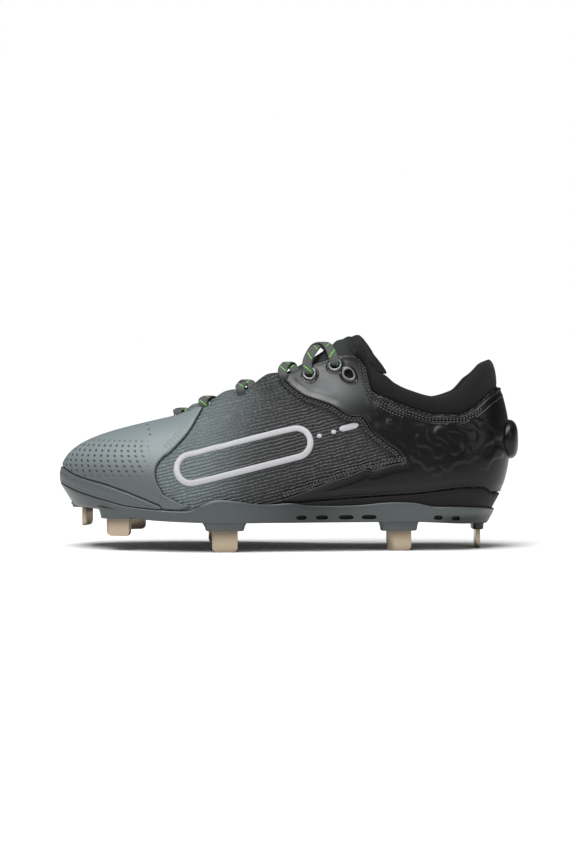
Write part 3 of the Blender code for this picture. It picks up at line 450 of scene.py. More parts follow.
class Last:
    """The upper's form: side curves from the feather line to the top edge, all round the foot."""

    def station(self, u: np.ndarray) -> np.ndarray:
        """Share of the foot's length from the toe, for places round the outline."""
        return (1 + np.cos(2 * np.pi * np.asarray(u, float))) / 2

    def side(self, u: np.ndarray) -> np.ndarray:
        """-1 on the lateral half of the outline and 1 on the medial half."""
        return np.where(np.mod(u, 1.0) < 0.5, -1.0, 1.0)

    def around(self, at: float, side: Side) -> float:
        """Place round the outline of a station: positive u is lateral, negative is medial."""
        half = math.acos(min(max(2 * at - 1, -1.0), 1.0)) / (2 * math.pi)
        return half if side is Side.LATERAL else -half

    @staticmethod
    def end(distance: np.ndarray, run: float, power: float) -> np.ndarray:
        """Width factor of a rounded end."""
        return (1 - np.clip(1 - distance / run, 0.0, None) ** power) ** (1 / power)

    @staticmethod
    def along(at: np.ndarray) -> np.ndarray:
        """X of a station."""
        return TOE_X + np.asarray(at, float) * FOOT_LENGTH

    def feather_height(self, at: np.ndarray) -> np.ndarray:
        """Height of the feather line."""
        return FEATHER("height", at) * SEAT_HEIGHT

    def feather(self, u: np.ndarray) -> np.ndarray:
        """Points of the feather line."""
        at, side = self.station(u), self.side(u)
        width = np.where(side < 0, PLAN("lateral", at), PLAN("medial", at))
        width = width * self.end(at, TOE_ROUND, TOE_POWER) * self.end(1 - at, HEEL_ROUND, HEEL_POWER)
        across = (PLAN("centre", at) + side * width) * BALL_WIDTH
        return np.stack([self.along(at), across, self.feather_height(at)], axis=-1)

    def outward(self, u: np.ndarray) -> np.ndarray:
        """Plan normals of the feather line."""
        u = np.asarray(u, float)
        run = self.feather(u + 0.0008) - self.feather(u - 0.0008)
        return unit(np.stack([-run[..., 1], run[..., 0], 0 * run[..., 0]], axis=-1))

    def top(self, u: np.ndarray) -> np.ndarray:
        """Points of the top edge; the toe's lines fan back to the throat."""
        at = self.station(u)
        gap = FAN_END - THROAT_FRONT
        cubic = (1 - 2 * gap / FAN_END) / FAN_END**2
        square = (gap - cubic * FAN_END**3) / FAN_END**2
        top_at = np.where(at >= FAN_END, at, THROAT_FRONT + square * at**2 + cubic * at**3)
        half = TOP_EDGE("half", top_at)
        half = half * np.sin(np.pi / 2 * np.minimum(1.0, np.sqrt(at / THROAT_ROUND)))
        half = half * self.end(1 - at, HEEL_ROUND, HEEL_POWER)
        across = (PLAN("centre", top_at) + self.side(u) * half) * BALL_WIDTH
        height = self.feather_height(top_at) + TOP_EDGE("rise", top_at) * UPPER_RISE
        return np.stack([self.along(top_at), across, height], axis=-1)

    def bare(self, u: np.ndarray, v: np.ndarray) -> np.ndarray:
        """Points of the side curves, without offset or creases."""
        u, v = np.broadcast_arrays(np.asarray(u, float), np.asarray(v, float))
        at, low, high = self.station(u), self.feather(u), self.top(u)
        flat = (low - high) * np.array((1.0, 1.0, 0.0))
        out = unit(flat + self.outward(u) * 0.128 * BALL_WIDTH)
        rise = (high - low)[..., 2]

        def handle(start: np.ndarray, reach: str, climb: str, sign: float) -> np.ndarray:
            lift = (FULLNESS(climb, at) * rise * sign)[..., None] * UP
            return start + out * (FULLNESS(reach, at) * BALL_WIDTH)[..., None] + lift

        near, far = handle(low, "low_out", "low_up", 1.0), handle(high, "high_out", "high_down", -1.0)
        t = v[..., None]
        w = 1 - t
        return low * w**3 + near * 3 * w * w * t + far * 3 * w * t * t + high * t**3

    def normal(self, u: np.ndarray, v: np.ndarray) -> np.ndarray:
        """Unit normals of the outer face."""
        u, v = np.broadcast_arrays(np.asarray(u, float), np.asarray(v, float))
        rising = self.bare(u, np.minimum(v + 0.01, 1.0)) - self.bare(u, np.maximum(v - 0.01, 0.0))
        round_it = self.bare(u + 0.0012, v) - self.bare(u - 0.0012, v)
        return unit(np.cross(rising, round_it))

    @staticmethod
    def creased(points: np.ndarray) -> np.ndarray:
        """Height of the listed creases over points."""
        total = np.zeros(points.shape[:-1])
        for crease in CREASES:
            start, end = np.array(crease.start), np.array(crease.end)
            flat = points[..., [0, 2]] - start
            share = np.clip(flat @ (end - start) / ((end - start) @ (end - start)), 0.0, 1.0)
            away = np.linalg.norm(flat - share[..., None] * (end - start), axis=-1)
            total += crease.height * np.exp(-((away / crease.half) ** 2))
        return total

    def skin(self, u: np.ndarray, v: np.ndarray, offset: float | np.ndarray = 0.0) -> np.ndarray:
        """Points on the form, moved out by an offset, with the creases."""
        points = self.bare(u, v)
        lift = np.asarray(offset) + self.creased(points)
        return points + self.normal(u, v) * np.broadcast_to(lift, points.shape[:-1])[..., None]

    def up_share(self, u: np.ndarray, z: np.ndarray, offset: float = 0.0) -> np.ndarray:
        """Shares up the side curves at which the offset form reaches heights."""
        u, z = np.broadcast_arrays(np.asarray(u, float), np.asarray(z, float))
        low, high = np.zeros(u.shape), np.ones(u.shape)
        for _ in range(20):
            middle = (low + high) / 2
            points = self.bare(u, middle)
            if offset:
                points = points + self.normal(u, middle) * offset
            below = points[..., 2] < z
            low, high = np.where(below, middle, low), np.where(below, high, middle)
        return (low + high) / 2

    def place_at(self, at: np.ndarray, v: np.ndarray, side: Side) -> np.ndarray:
        """Places round the outline where the form at shares up reaches stations."""
        at, v = np.broadcast_arrays(np.asarray(at, float), np.asarray(v, float))
        low, high = np.zeros(at.shape), np.full(at.shape, 0.5)
        sign = 1.0 if side is Side.LATERAL else -1.0
        for _ in range(24):
            middle = (low + high) / 2
            ahead = self.bare(sign * middle, v)[..., 0] > self.along(at)
            low, high = np.where(ahead, middle, low), np.where(ahead, high, middle)
        return sign * low

    def find(self, flat: np.ndarray, side: Side) -> np.ndarray:
        """Places (u, v) of points given as (x, z) in the side view."""
        flat = np.atleast_2d(np.asarray(flat, float))
        low, high = np.zeros(len(flat)), np.ones(len(flat))
        at = (flat[:, 0] - TOE_X) / FOOT_LENGTH
        for _ in range(18):
            middle = (low + high) / 2
            below = self.bare(self.place_at(at, middle, side), middle)[:, 2] < flat[:, 1]
            low, high = np.where(below, middle, low), np.where(below, high, middle)
        return np.stack([self.place_at(at, low, side), low], axis=-1)

    def shift(self, u: np.ndarray, v: np.ndarray, move: np.ndarray) -> tuple:
        """Places reached from (u, v) by a small move along the surface."""
        du = (self.bare(u + 0.001, v) - self.bare(u - 0.001, v)) / 0.002
        high, low = np.minimum(v + 0.01, 1.0), np.maximum(v - 0.01, 0.0)
        dv = (self.bare(u, high) - self.bare(u, low)) / (high - low)[..., None]
        a, b, c = (du * du).sum(-1), (du * dv).sum(-1), (dv * dv).sum(-1)
        p, q = (move * du).sum(-1), (move * dv).sum(-1)
        whole = a * c - b * b
        return u + (c * p - b * q) / whole, v + (a * q - b * p) / whole

    def under(self, u: np.ndarray, inward: float, lift: float = 0.0) -> np.ndarray:
        """Points under the foot, in from the feather line."""
        points = self.feather(u) - self.outward(u) * inward
        points[..., 2] = self.feather_height((points[..., 0] - TOE_X) / FOOT_LENGTH) + lift
        return points

    def wall(self, u: np.ndarray, z: np.ndarray, offset: np.ndarray) -> np.ndarray:
        """Points at heights outside the form, leaning in below the feather line."""
        u, z, offset = np.broadcast_arrays(*(np.asarray(x, float) for x in (u, z, offset)))
        base = self.feather(u)
        lean = SOLE("lean", self.station(u))
        low = base + self.outward(u) * (offset - lean * (base[..., 2] - z))[..., None]
        low[..., 2] = z
        share = self.up_share(u, z)
        for _ in range(2):
            reach = self.bare(u, share) + self.normal(u, share) * offset[..., None]
            share = self.up_share(u, z + self.bare(u, share)[..., 2] - reach[..., 2])
        high = self.bare(u, share) + self.normal(u, share) * offset[..., None]
        return np.where((z > base[..., 2])[..., None], high, low)


LAST = Last()



@dataclass(frozen=True)
class Finish:
    """How a surface looks. A colour of None is read from the mesh's own tint."""

    name: str
    colour: tuple | None
    roughness: float
    texture: Texture = Texture.SMOOTH
    metallic: float = 0.0
    coat: float = 0.0
    strength: float = 0.3
    specular: float = 0.5
    sheen: float = 0.0


class Effects:
    """Node groups of the effects that several finishes share, each built once."""

    def __init__(self) -> None:
        """Starts with no group built."""
        self.made: dict[str, bpy.types.NodeTree] = {}

    def _opened(self, name: str, takes: dict[str, str], gives: dict[str, str]) -> tuple:
        """New group with named sockets.

        Args:
            name: Name of the group.
            takes: Type of each input by its name.
            gives: Type of each output by its name.

        Returns:
            Its nodes' writer, its input sockets and its output sockets.
        """
        tree = bpy.data.node_groups.new(name, "ShaderNodeTree")
        for label, kind in takes.items():
            tree.interface.new_socket(name=label, in_out="INPUT", socket_type=kind)
        for label, kind in gives.items():
            tree.interface.new_socket(name=label, in_out="OUTPUT", socket_type=kind)
        self.made[name] = tree
        start, end = tree.nodes.new("NodeGroupInput"), tree.nodes.new("NodeGroupOutput")
        return Relief(tree, None, None, None), start.outputs, end.inputs

    def grain(self) -> bpy.types.NodeTree:
        """Fine grain or nap: takes Scale and Detail, gives Height."""
        if "grain" not in self.made:
            takes = {"Scale": "NodeSocketFloat", "Detail": "NodeSocketFloat"}
            write, given, wanted = self._opened("grain", takes, {"Height": "NodeSocketFloat"})
            height = write.noise(given["Scale"], given["Detail"])
            write.tree.links.new(height, wanted["Height"])
        return self.made["grain"]

    def knit(self) -> bpy.types.NodeTree:
        """Plain knit of small loops: takes Tint, Pitch and Depth, gives Height and Colour."""
        if "knit" not in self.made:
            takes = {"Tint": "NodeSocketColor", "Pitch": "NodeSocketFloat", "Depth": "NodeSocketFloat"}
            gives = {"Height": "NodeSocketFloat", "Colour": "NodeSocketColor"}
            write, given, wanted = self._opened("knit", takes, gives)
            u, v = write.flat()
            row = write.value("DIVIDE", 2 * math.pi, given["Pitch"])
            first = write.value("MULTIPLY_ADD", write.value("SINE", write.value("MULTIPLY", u, row)), 0.5, 0.5)
            across = write.value("MULTIPLY", v, write.value("MULTIPLY", row, 1.25))
            second = write.value("MULTIPLY_ADD", write.value("SINE", across), 0.5, 0.5)
            height = write.value("MULTIPLY", first, second)
            write.tree.links.new(height, wanted["Height"])
            # The gaps between the loops darken the tint by Depth: painted shade.
            gap = write.value("MULTIPLY", write.value("SUBTRACT", 1.0, height), given["Depth"])
            scale = write.tree.nodes.new("ShaderNodeVectorMath")
            scale.operation = "SCALE"
            write.tree.links.new(given["Tint"], scale.inputs[0])
            write.tree.links.new(write.value("SUBTRACT", 1.0, gap), scale.inputs["Scale"])
            write.tree.links.new(scale.outputs[0], wanted["Colour"])
        return self.made["knit"]


EFFECTS = Effects()


class Painter:
    """Builds one material for each finish."""

    def __init__(self) -> None:
        """Starts with no material built."""
        self.made: dict[str, bpy.types.Material] = {}

    def __call__(self, finish: Finish) -> bpy.types.Material:
        """Material of a finish."""
        if finish.name not in self.made:
            self.made[finish.name] = self._build(finish)
        return self.made[finish.name]

    def _build(self, finish: Finish) -> bpy.types.Material:
        """Builds the material of a finish."""
        material = bpy.data.materials.new(finish.name)
        material.use_nodes = True
        tree = material.node_tree
        shader = tree.nodes["Principled BSDF"]
        shader.inputs["Roughness"].default_value = finish.roughness
        shader.inputs["Metallic"].default_value = finish.metallic
        shader.inputs["Coat Weight"].default_value = finish.coat
        shader.inputs["Coat Roughness"].default_value = 0.25
        shader.inputs["Specular IOR Level"].default_value = finish.specular
        shader.inputs["Sheen Weight"].default_value = finish.sheen
        if finish.colour is not None:
            shader.inputs["Base Color"].default_value = (*finish.colour, 1.0)
            material.diffuse_color = (*finish.colour, 1.0)
            colour = None
        else:
            node = tree.nodes.new("ShaderNodeAttribute")
            node.attribute_name = "tint"
            colour = node.outputs["Color"]
            tree.links.new(colour, shader.inputs["Base Color"])
        Relief(tree, shader, finish, colour).build()
        return material


@dataclass
class Relief:
    """The node work of one finish: its bump and the shade that goes with it."""

    tree: bpy.types.NodeTree
    shader: bpy.types.Node
    finish: Finish
    colour: bpy.types.NodeSocket | None

    def value(self, kind: str, first: object, second: object = None, third: object = None) -> object:
        """Output of a math node; numbers and sockets both serve as inputs."""
        node = self.tree.nodes.new("ShaderNodeMath")
        node.operation = kind
        for socket, given in zip(node.inputs, (first, second, third)):
            if given is None:
                continue
            if isinstance(given, (int, float)):
                socket.default_value = given
            else:
                self.tree.links.new(given, socket)
        return node.outputs[0]

    def noise(self, scale: object, detail: object = 2.0) -> object:
        """Noise over the object's own coordinates, in cells per metre."""
        coordinates = self.tree.nodes.new("ShaderNodeTexCoord")
        node = self.tree.nodes.new("ShaderNodeTexNoise")
        for name, given in (("Scale", scale), ("Detail", detail)):
            if isinstance(given, (int, float)):
                node.inputs[name].default_value = given
            else:
                self.tree.links.new(given, node.inputs[name])
        self.tree.links.new(coordinates.outputs["Object"], node.inputs["Vector"])
        return node.outputs[0]

    def flat(self) -> tuple:
        """The piece's own two lengths over its surface, in millimetres."""
        node = self.tree.nodes.new("ShaderNodeAttribute")
        node.attribute_name = "flat"
        split = self.tree.nodes.new("ShaderNodeSeparateXYZ")
        self.tree.links.new(node.outputs["Vector"], split.inputs[0])
        return split.outputs[0], split.outputs[1]

    def wave(self, value: object, pitch: float, phase: object = 0.0) -> object:
        """Sine of a length over a pitch, from 0 to 1."""
        turned = self.value("ADD", self.value("MULTIPLY", value, 2 * math.pi / pitch), phase)
        return self.value("MULTIPLY_ADD", self.value("SINE", turned), 0.5, 0.5)

    def bump(self, height: object, distance: float) -> None:
        """Links a height to the shader's normal."""
        node = self.tree.nodes.new("ShaderNodeBump")
        node.inputs["Strength"].default_value = self.finish.strength
        node.inputs["Distance"].default_value = distance
        self.tree.links.new(height, node.inputs["Height"])
        self.tree.links.new(node.outputs["Normal"], self.shader.inputs["Normal"])

    def shade(self, share: object, dark: float) -> None:
        """Darkens the tint by a share of it: painted shade in a pattern's hollows."""
        if self.colour is None:
            return
        scale = self.tree.nodes.new("ShaderNodeVectorMath")
        scale.operation = "SCALE"
        self.tree.links.new(self.colour, scale.inputs[0])
        factor = self.value("MULTIPLY_ADD", share, -dark, 1.0)
        self.tree.links.new(factor, scale.inputs["Scale"])
        self.tree.links.new(scale.outputs[0], self.shader.inputs["Base Color"])

    def shared(self, effect: bpy.types.NodeTree, given: dict[str, float]) -> bpy.types.Node:
        """Places a shared effect with this finish's own values."""
        node = self.tree.nodes.new("ShaderNodeGroup")
        node.node_tree = effect
        for name, value in given.items():
            node.inputs[name].default_value = value
        return node

    def _grain(self, scale: float, detail: float, distance: float) -> None:
        """Bump of the shared grain."""
        effect = self.shared(EFFECTS.grain(), {"Scale": scale, "Detail": detail})
        self.bump(effect.outputs["Height"], distance)

    def build(self) -> None:
        """Adds the nodes of the finish's texture."""
        kind = self.finish.texture
        if kind is Texture.GRAIN:
            self._grain(1800.0, 3.0, 0.0002)
        elif kind is Texture.FLEECE:
            self._grain(2600.0, 4.0, 0.0004)
        elif kind is Texture.RIBS:
            self._ribs()
        elif kind is Texture.DASHES:
            self._dashes()
        elif kind is Texture.WEAVE:
            self._knit(1.1)
        elif kind is Texture.SATIN:
            u, _ = self.flat()
            self.bump(self.wave(u, 0.42, self.value("MULTIPLY", self.noise(900.0), 3.0)), 0.0002)
        elif kind is Texture.ZIGZAG:
            self._zigzag()
        elif kind is Texture.BRUSHED:
            self._grain(3500.0, 2.0, 0.00006)

    def _ribs(self) -> None:
        """Wavy ribs of a stretch textile, broken into short stitches."""
        u, v = self.flat()
        sway = self.value("MULTIPLY", self.noise(150.0, 3.0), 7.0)
        ribs = self.wave(v, 2.1, sway)
        cells = self.wave(u, 3.1, self.value("MULTIPLY", self.noise(520.0), 14.0))
        height = self.value("MULTIPLY", ribs, self.value("MULTIPLY_ADD", cells, 0.62, 0.38))
        fine = self.value("MULTIPLY_ADD", self.noise(2400.0), 0.22, height)
        self.bump(fine, 0.0010)
        # The troughs between the ribs are darkened: painted shade.
        self.shade(self.value("SUBTRACT", 1.0, height), 0.50)

    def _dashes(self) -> None:
        """Staggered slanted slits over the toe, where the piece's dashes mask shows them."""
        u, v = self.flat()
        row = self.value("FLOOR", self.value("DIVIDE", v, 3.0))
        stagger = self.value("MULTIPLY", row, 2.2)
        cell = self.value("FRACT", self.value("DIVIDE", self.value("ADD", u, stagger), 4.4))
        line = self.value("FRACT", self.value("DIVIDE", v, 3.0))
        across = self.value("MULTIPLY", self.value("SUBTRACT", cell, 0.5), 4.4)
        rise = self.value("MULTIPLY", self.value("SUBTRACT", line, 0.5), 3.0)
        long = self.value("ADD", self.value("MULTIPLY", across, 0.87), self.value("MULTIPLY", rise, 0.5))
        wide = self.value("SUBTRACT", self.value("MULTIPLY", rise, 0.87), self.value("MULTIPLY", across, 0.5))
        near_u, near_v = self.value("DIVIDE", long, 1.35), self.value("DIVIDE", wide, 0.60)
        square = self.value("ADD", self.value("POWER", near_u, 2.0), self.value("POWER", near_v, 2.0))
        slit = self.value("SUBTRACT", 1.0, self.value("MINIMUM", square, 1.0))
        slit = self.value("MINIMUM", self.value("MULTIPLY", slit, 2.0), 1.0)
        mask = self.tree.nodes.new("ShaderNodeAttribute")
        mask.attribute_name = "dashes"
        slit = self.value("MULTIPLY", slit, mask.outputs["Fac"])
        grain = self.value("MULTIPLY", self.noise(2200.0, 3.0), 0.16)
        self.bump(self.value("SUBTRACT", grain, slit), 0.0006)
        # The slits are darkened: painted shade inside them.
        self.shade(slit, 0.80)

    def _knit(self, pitch: float) -> None:
        """Bump and shade of the shared knit."""
        effect = self.shared(EFFECTS.knit(), {"Pitch": pitch, "Depth": 0.35})
        self.bump(effect.outputs["Height"], 0.0004)
        if self.colour is not None:
            self.tree.links.new(self.colour, effect.inputs["Tint"])
            self.tree.links.new(effect.outputs["Colour"], self.shader.inputs["Base Color"])

    def _zigzag(self) -> None:
        """Flat woven lace with a bright broken zigzag."""
        u, v = self.flat()
        saw = self.value("ABSOLUTE", self.value("MULTIPLY_ADD", self.value("FRACT", self.value("DIVIDE", u, 10.0)), 2.0, -1.0))
        line = self.value("ABSOLUTE", self.value("SUBTRACT", self.value("MULTIPLY_ADD", saw, 4.6, -2.3), v))
        on_line = self.value("LESS_THAN", line, 0.42)
        broken = self.value("GREATER_THAN", self.wave(u, 1.15), 0.42)
        half = self.value("LESS_THAN", self.value("FRACT", self.value("DIVIDE", u, 10.0)), 0.5)
        broken = self.value("MULTIPLY", broken, half)
        mix = self.tree.nodes.new("ShaderNodeMix")
        mix.data_type = "RGBA"
        self.tree.links.new(self.value("MULTIPLY", on_line, broken), mix.inputs["Factor"])
        self.tree.links.new(self.colour, mix.inputs["A"])
        mix.inputs["B"].default_value = (0.20, 0.72, 0.030, 1.0)
        self.tree.links.new(mix.outputs["Result"], self.shader.inputs["Base Color"])
        height = self.value("MULTIPLY", self.wave(u, 0.8), self.wave(v, 0.9))
        self.bump(height, 0.0003)


PAINT = Painter()

TEXTILE = Finish("ribbed_textile", None, 0.45, Texture.RIBS, strength=0.7, specular=0.4)
LINING = Finish("lining_mesh", (0.008, 0.008, 0.008), 0.9, Texture.FLEECE, specular=0.2)
TOE_SKIN = Finish("toe_skin", None, 0.50, Texture.DASHES, strength=0.6)
MOULDED = Finish("moulded_film", None, 0.33, Texture.GRAIN, coat=0.04, strength=0.25, specular=0.24)
RUBBER = Finish("rand_rubber", None, 0.48, Texture.GRAIN, strength=0.18)
PLATE = Finish("plate_plastic", None, 0.38, Texture.GRAIN, strength=0.12, specular=0.35)
SLOT = Finish("slot_shade", (0.008, 0.008, 0.009), 0.7)
FOAM = Finish("midsole_foam", (0.0070, 0.0062, 0.0058), 0.6, Texture.GRAIN, strength=0.25, specular=0.2)
FLEECE = Finish("collar_fleece", (0.0090, 0.0090, 0.0093), 0.85, Texture.FLEECE, strength=0.6, specular=0.15, sheen=0.05)
TONGUE_CLOTH = Finish("tongue_cloth", None, 0.75, Texture.WEAVE, strength=0.4, specular=0.25)
LINER = Finish("liner_cloth", (0.020, 0.020, 0.021), 0.9, Texture.WEAVE)
STEEL = Finish("blade_steel", (0.40, 0.325, 0.24), 0.34, Texture.BRUSHED, metallic=1.0, strength=0.2)
HOLE = Finish("hole_shade", (0.003, 0.003, 0.003), 0.9)
THREAD_DARK = Finish("thread_dark", (0.026, 0.027, 0.028), 0.38)
THREAD_GREY = Finish("thread_grey", (0.19, 0.225, 0.23), 0.6)
PIPING = Finish("piping", (0.010, 0.010, 0.011), 0.36, specular=0.4)
SATIN = Finish("satin_thread", (0.42, 0.42, 0.44), 0.42, Texture.SATIN, strength=0.5)
LACE = Finish("lace_weave", None, 0.8, Texture.ZIGZAG, strength=0.5)


# How much of a seen tone is the surface's own under the studio's bright light.
SURFACE_SHARE = 0.50


def shade_of(red: float, green: float, blue: float) -> np.ndarray:
    """Linear colour of three values from 0 to 255."""
    value = np.array((red, green, blue)) / 255
    return SURFACE_SHARE * np.where(value <= 0.04045, value / 12.92, ((value + 0.055) / 1.055) ** 2.4)


@dataclass
class Sculpt:
    """One piece in the making: surfaces placed on functions, in one mesh."""

    name: str
    slot: str
    nodes: tuple = ()
    mesh: bmesh.types.BMesh = field(default_factory=bmesh.new)
    finishes: list = field(default_factory=list)

    def __post_init__(self) -> None:
        layers = self.mesh.verts.layers
        for kind, name in ((layers.float_vector, "flat"), (layers.float_color, "tint"), (layers.float, "dashes")):
            kind.new(name)

    def index(self, finish: Finish) -> int:
        """Material index of a finish on this piece."""
        if finish not in self.finishes:
            self.finishes.append(finish)
        return self.finishes.index(finish)

    def sheet(
        self,
        points: np.ndarray,
        finish: Finish,
        flat: np.ndarray | None = None,
        tint: np.ndarray | None = None,
        mask: np.ndarray | None = None,
        flip: bool = False,
    ) -> list:
        """Adds a grid laid on points.

        Args:
            points: Rows of columns of points; faces look along column step x row step.
            finish: Finish of its faces.
            flat: Lengths over the surface in millimetres, for patterns.
            tint: Colours of the points, or one for all.
            mask: Where a pattern shows.
            flip: Turns the faces over.

        Returns:
            The grid's vertices, row by row.
        """
        rows, columns = points.shape[:2]
        made = bmesh.ops.create_grid(self.mesh, x_segments=columns - 1, y_segments=rows - 1, size=1.0)
        verts = made["verts"]
        flat = np.zeros((rows, columns, 2)) if flat is None else flat
        tint = np.broadcast_to((0.5, 0.5, 0.5) if tint is None else tint, (rows, columns, 3))
        mask = np.broadcast_to(0.0 if mask is None else mask, (rows, columns))
        layers = self.mesh.verts.layers
        flats, tints, masks = layers.float_vector["flat"], layers.float_color["tint"], layers.float["dashes"]
        rows_of = zip(verts, points.reshape(-1, 3), flat.reshape(-1, 2), tint.reshape(-1, 3), mask.reshape(-1))
        for vert, point, length, colour, share in rows_of:
            vert.co = point
            vert[flats] = (length[0], length[1], 0.0)
            vert[tints] = (colour[0], colour[1], colour[2], 1.0)
            vert[masks] = share
        faces = list({face for vert in verts for face in vert.link_faces})
        index = self.index(finish)
        for face in faces:
            face.material_index = index
        if flip:
            bmesh.ops.reverse_faces(self.mesh, faces=faces)
        return verts

    def tube(
        self,
        path: np.ndarray,
        normals: np.ndarray,
        width: float,
        height: float,
        finish: Finish,
        sides: int = 8,
        tint: np.ndarray | None = None,
        power: float = 1.0,
        taper: bool = True,
        radius: np.ndarray | float = 1.0,
    ) -> None:
        """Adds a cord of oval section along a path, closed at both ends.

        Args:
            path: Points of its middle.
            normals: Which way its thickness faces at each point.
            width: Full width along the surface.
            height: Full thickness.
            finish: Its finish.
            sides: Points of its section.
            tint: Its colour.
            power: Below 1 makes the section squarer.
            taper: Rounds off both ends.
            radius: Share of width and height at each point.
        """
        ahead = unit(np.gradient(path, axis=0))
        across = unit(np.cross(ahead, normals))
        above = unit(np.cross(across, ahead))
        turn = np.linspace(0.0, 2 * np.pi, sides + 1)
        ca, sa = np.cos(turn), np.sin(turn)
        wide = np.sign(ca) * np.abs(ca) ** power * width / 2
        tall = np.sign(sa) * np.abs(sa) ** power * height / 2
        size = np.broadcast_to(radius, len(path)).astype(float).copy()
        if taper:
            run = lengths(path)
            gap = np.minimum(run, run[-1] - run)
            size *= np.sqrt(np.clip(1 - np.clip(1 - gap / (0.6 * min(width, height) + 1e-6), 0, 1) ** 2, 0.003, 1))
        ring = across[:, None] * wide[None, :, None] + above[:, None] * tall[None, :, None]
        points = path[:, None] + ring * size[:, None, None]
        run = lengths(path)[:, None] * np.ones(sides + 1)[None] * 1000
        flat = np.stack([run, np.broadcast_to(wide[None] * 1000, run.shape)], axis=-1)
        verts = self.sheet(points, finish, flat, tint)
        bmesh.ops.remove_doubles(self.mesh, verts=verts, dist=0.000004)

    def beads(self, spots: np.ndarray, frames: tuple, size: tuple, finish: Finish) -> None:
        """Adds small stitches: one low ball for each spot, stretched along its frame.

        Args:
            spots: Middles of the stitches.
            frames: Their directions along, across and out.
            size: Half-length, half-width and half-height.
            finish: Their finish.
        """
        index = self.index(finish)
        parts = list(zip(spots, *frames))
        for first in range(0, len(parts), 40):
            small = bmesh.new()
            for spot, along, across, out in parts[first : first + 40]:
                matrix = Matrix.Identity(4)
                for column, (axis, half) in enumerate(zip((along, across, out), size)):
                    for row in range(3):
                        matrix[row][column] = float(axis[row]) * half
                matrix.translation = Vector(spot)
                bmesh.ops.create_uvsphere(small, u_segments=6, v_segments=4, radius=1.0, matrix=matrix)
            for face in small.faces:
                face.material_index = index
            data = bpy.data.meshes.new("stitches")
            small.to_mesh(data)
            small.free()
            self.mesh.from_mesh(data)
            bpy.data.meshes.remove(data)

    def weld(self, distance: float = 0.00002) -> None:
        """Merges points that meet."""
        bmesh.ops.remove_doubles(self.mesh, verts=self.mesh.verts[:], dist=distance)

    def finish(self, pad: float | None = None, sharp: float = 50.0) -> bpy.types.Object:
        """Args:
            pad: Fill of a stuffed piece, or None; not used.
            sharp: Angle in degrees from which an edge stays crisp.

        Returns:
            The finished object.
        """
        data = bpy.data.meshes.new(self.name)
        self.mesh.to_mesh(data)
        self.mesh.free()
        piece = bpy.data.objects.new(self.name, data)
        bpy.context.scene.collection.objects.link(piece)
        for finish in self.finishes:
            data.materials.append(PAINT(finish))
        return declare(piece, self.nodes, pad, sharp)


def declare(
    piece: bpy.types.Object, nodes: tuple, pad: float | None = None, sharp: float = 50.0
) -> bpy.types.Object:
    """Args:
        piece: The object.
        nodes: Nodes that it stands for.
        pad: Fill of a stuffed piece, or None; not used.
        sharp: Angle in degrees from which an edge stays crisp.

    Returns:
        The same object.
    """
    piece.data.shade_smooth()
    piece.data.set_sharp_from_angle(angle=math.radians(sharp))
    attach(piece, "root")
    if nodes:
        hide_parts(*nodes)
    LOG.info("%s: %d faces", piece.name, len(piece.data.polygons))
    return piece


def side_lengths(points: np.ndarray) -> np.ndarray:
    """Millimetres along the shoe and up it, leaning a little as the textile's ribs do."""
    x, z = points[..., 0] * 1000, points[..., 2] * 1000
    return np.stack([x + 0.25 * z, z - 0.25 * x], axis=-1)


def arc_lengths(points: np.ndarray) -> np.ndarray:
    """Millimetres along the rows and the columns of a grid."""
    rows = np.linalg.norm(np.diff(points, axis=0), axis=2).mean(axis=1)
    columns = np.linalg.norm(np.diff(points, axis=1), axis=2)
    along = np.concatenate(([0.0], np.cumsum(rows))) * 1000
    up = np.concatenate((np.zeros((len(points), 1)), np.cumsum(columns, axis=1)), axis=1) * 1000
    return np.stack([np.broadcast_to(along[:, None], up.shape), up], axis=-1)


@dataclass
class Trace:
    """A line drawn on the upper in the side view and followed over its surface."""

    keys: np.ndarray

    @classmethod
    def drawn(cls, spots: tuple, side: Side, step: float = 0.0012) -> "Trace":
        """Line through (x, z) spots in metres, smoothed, on one side of the shoe."""
        spots = np.array(spots, float)
        run = lengths(spots)
        count = max(int(run[-1] / step), 4)
        wanted = np.linspace(0.0, run[-1], count)
        columns = [Table(("at", "x"), tuple(zip(run, spots[:, i])))("x", wanted) for i in (0, 1)]
        return cls(LAST.find(np.stack(columns, axis=1), side))

    def points(self, offset: float) -> np.ndarray:
        """Its points at a height over the upper."""
        return LAST.skin(self.keys[:, 0], self.keys[:, 1], offset)

    def normals(self) -> np.ndarray:
        """The surface's normals along it."""
        return LAST.normal(self.keys[:, 0], self.keys[:, 1])

    def moved(self, distance: float) -> "Trace":
        """The same line moved sideways over the surface, to the left of its run seen from outside."""
        points, normals = self.points(0.0), self.normals()
        aside = unit(np.cross(normals, unit(np.gradient(points, axis=0))))
        u, v = LAST.shift(self.keys[:, 0], self.keys[:, 1], aside * distance)
        return Trace(np.stack([u, np.clip(v, 0.0, 0.999)], axis=-1))

    def even(self, pitch: float, offset: float) -> tuple:
        """Spots along it at a pitch, with directions along, across and out."""
        points, normals = self.points(offset), self.normals()
        run = lengths(points)
        wanted = np.arange(pitch / 2, run[-1], pitch)
        spots = np.stack([np.interp(wanted, run, points[:, i]) for i in range(3)], axis=1)
        out = unit(np.stack([np.interp(wanted, run, normals[:, i]) for i in range(3)], axis=1))
        ahead = np.gradient(points, axis=0)
        along = unit(np.stack([np.interp(wanted, run, ahead[:, i]) for i in range(3)], axis=1))
        return spots, along, unit(np.cross(out, along)), out


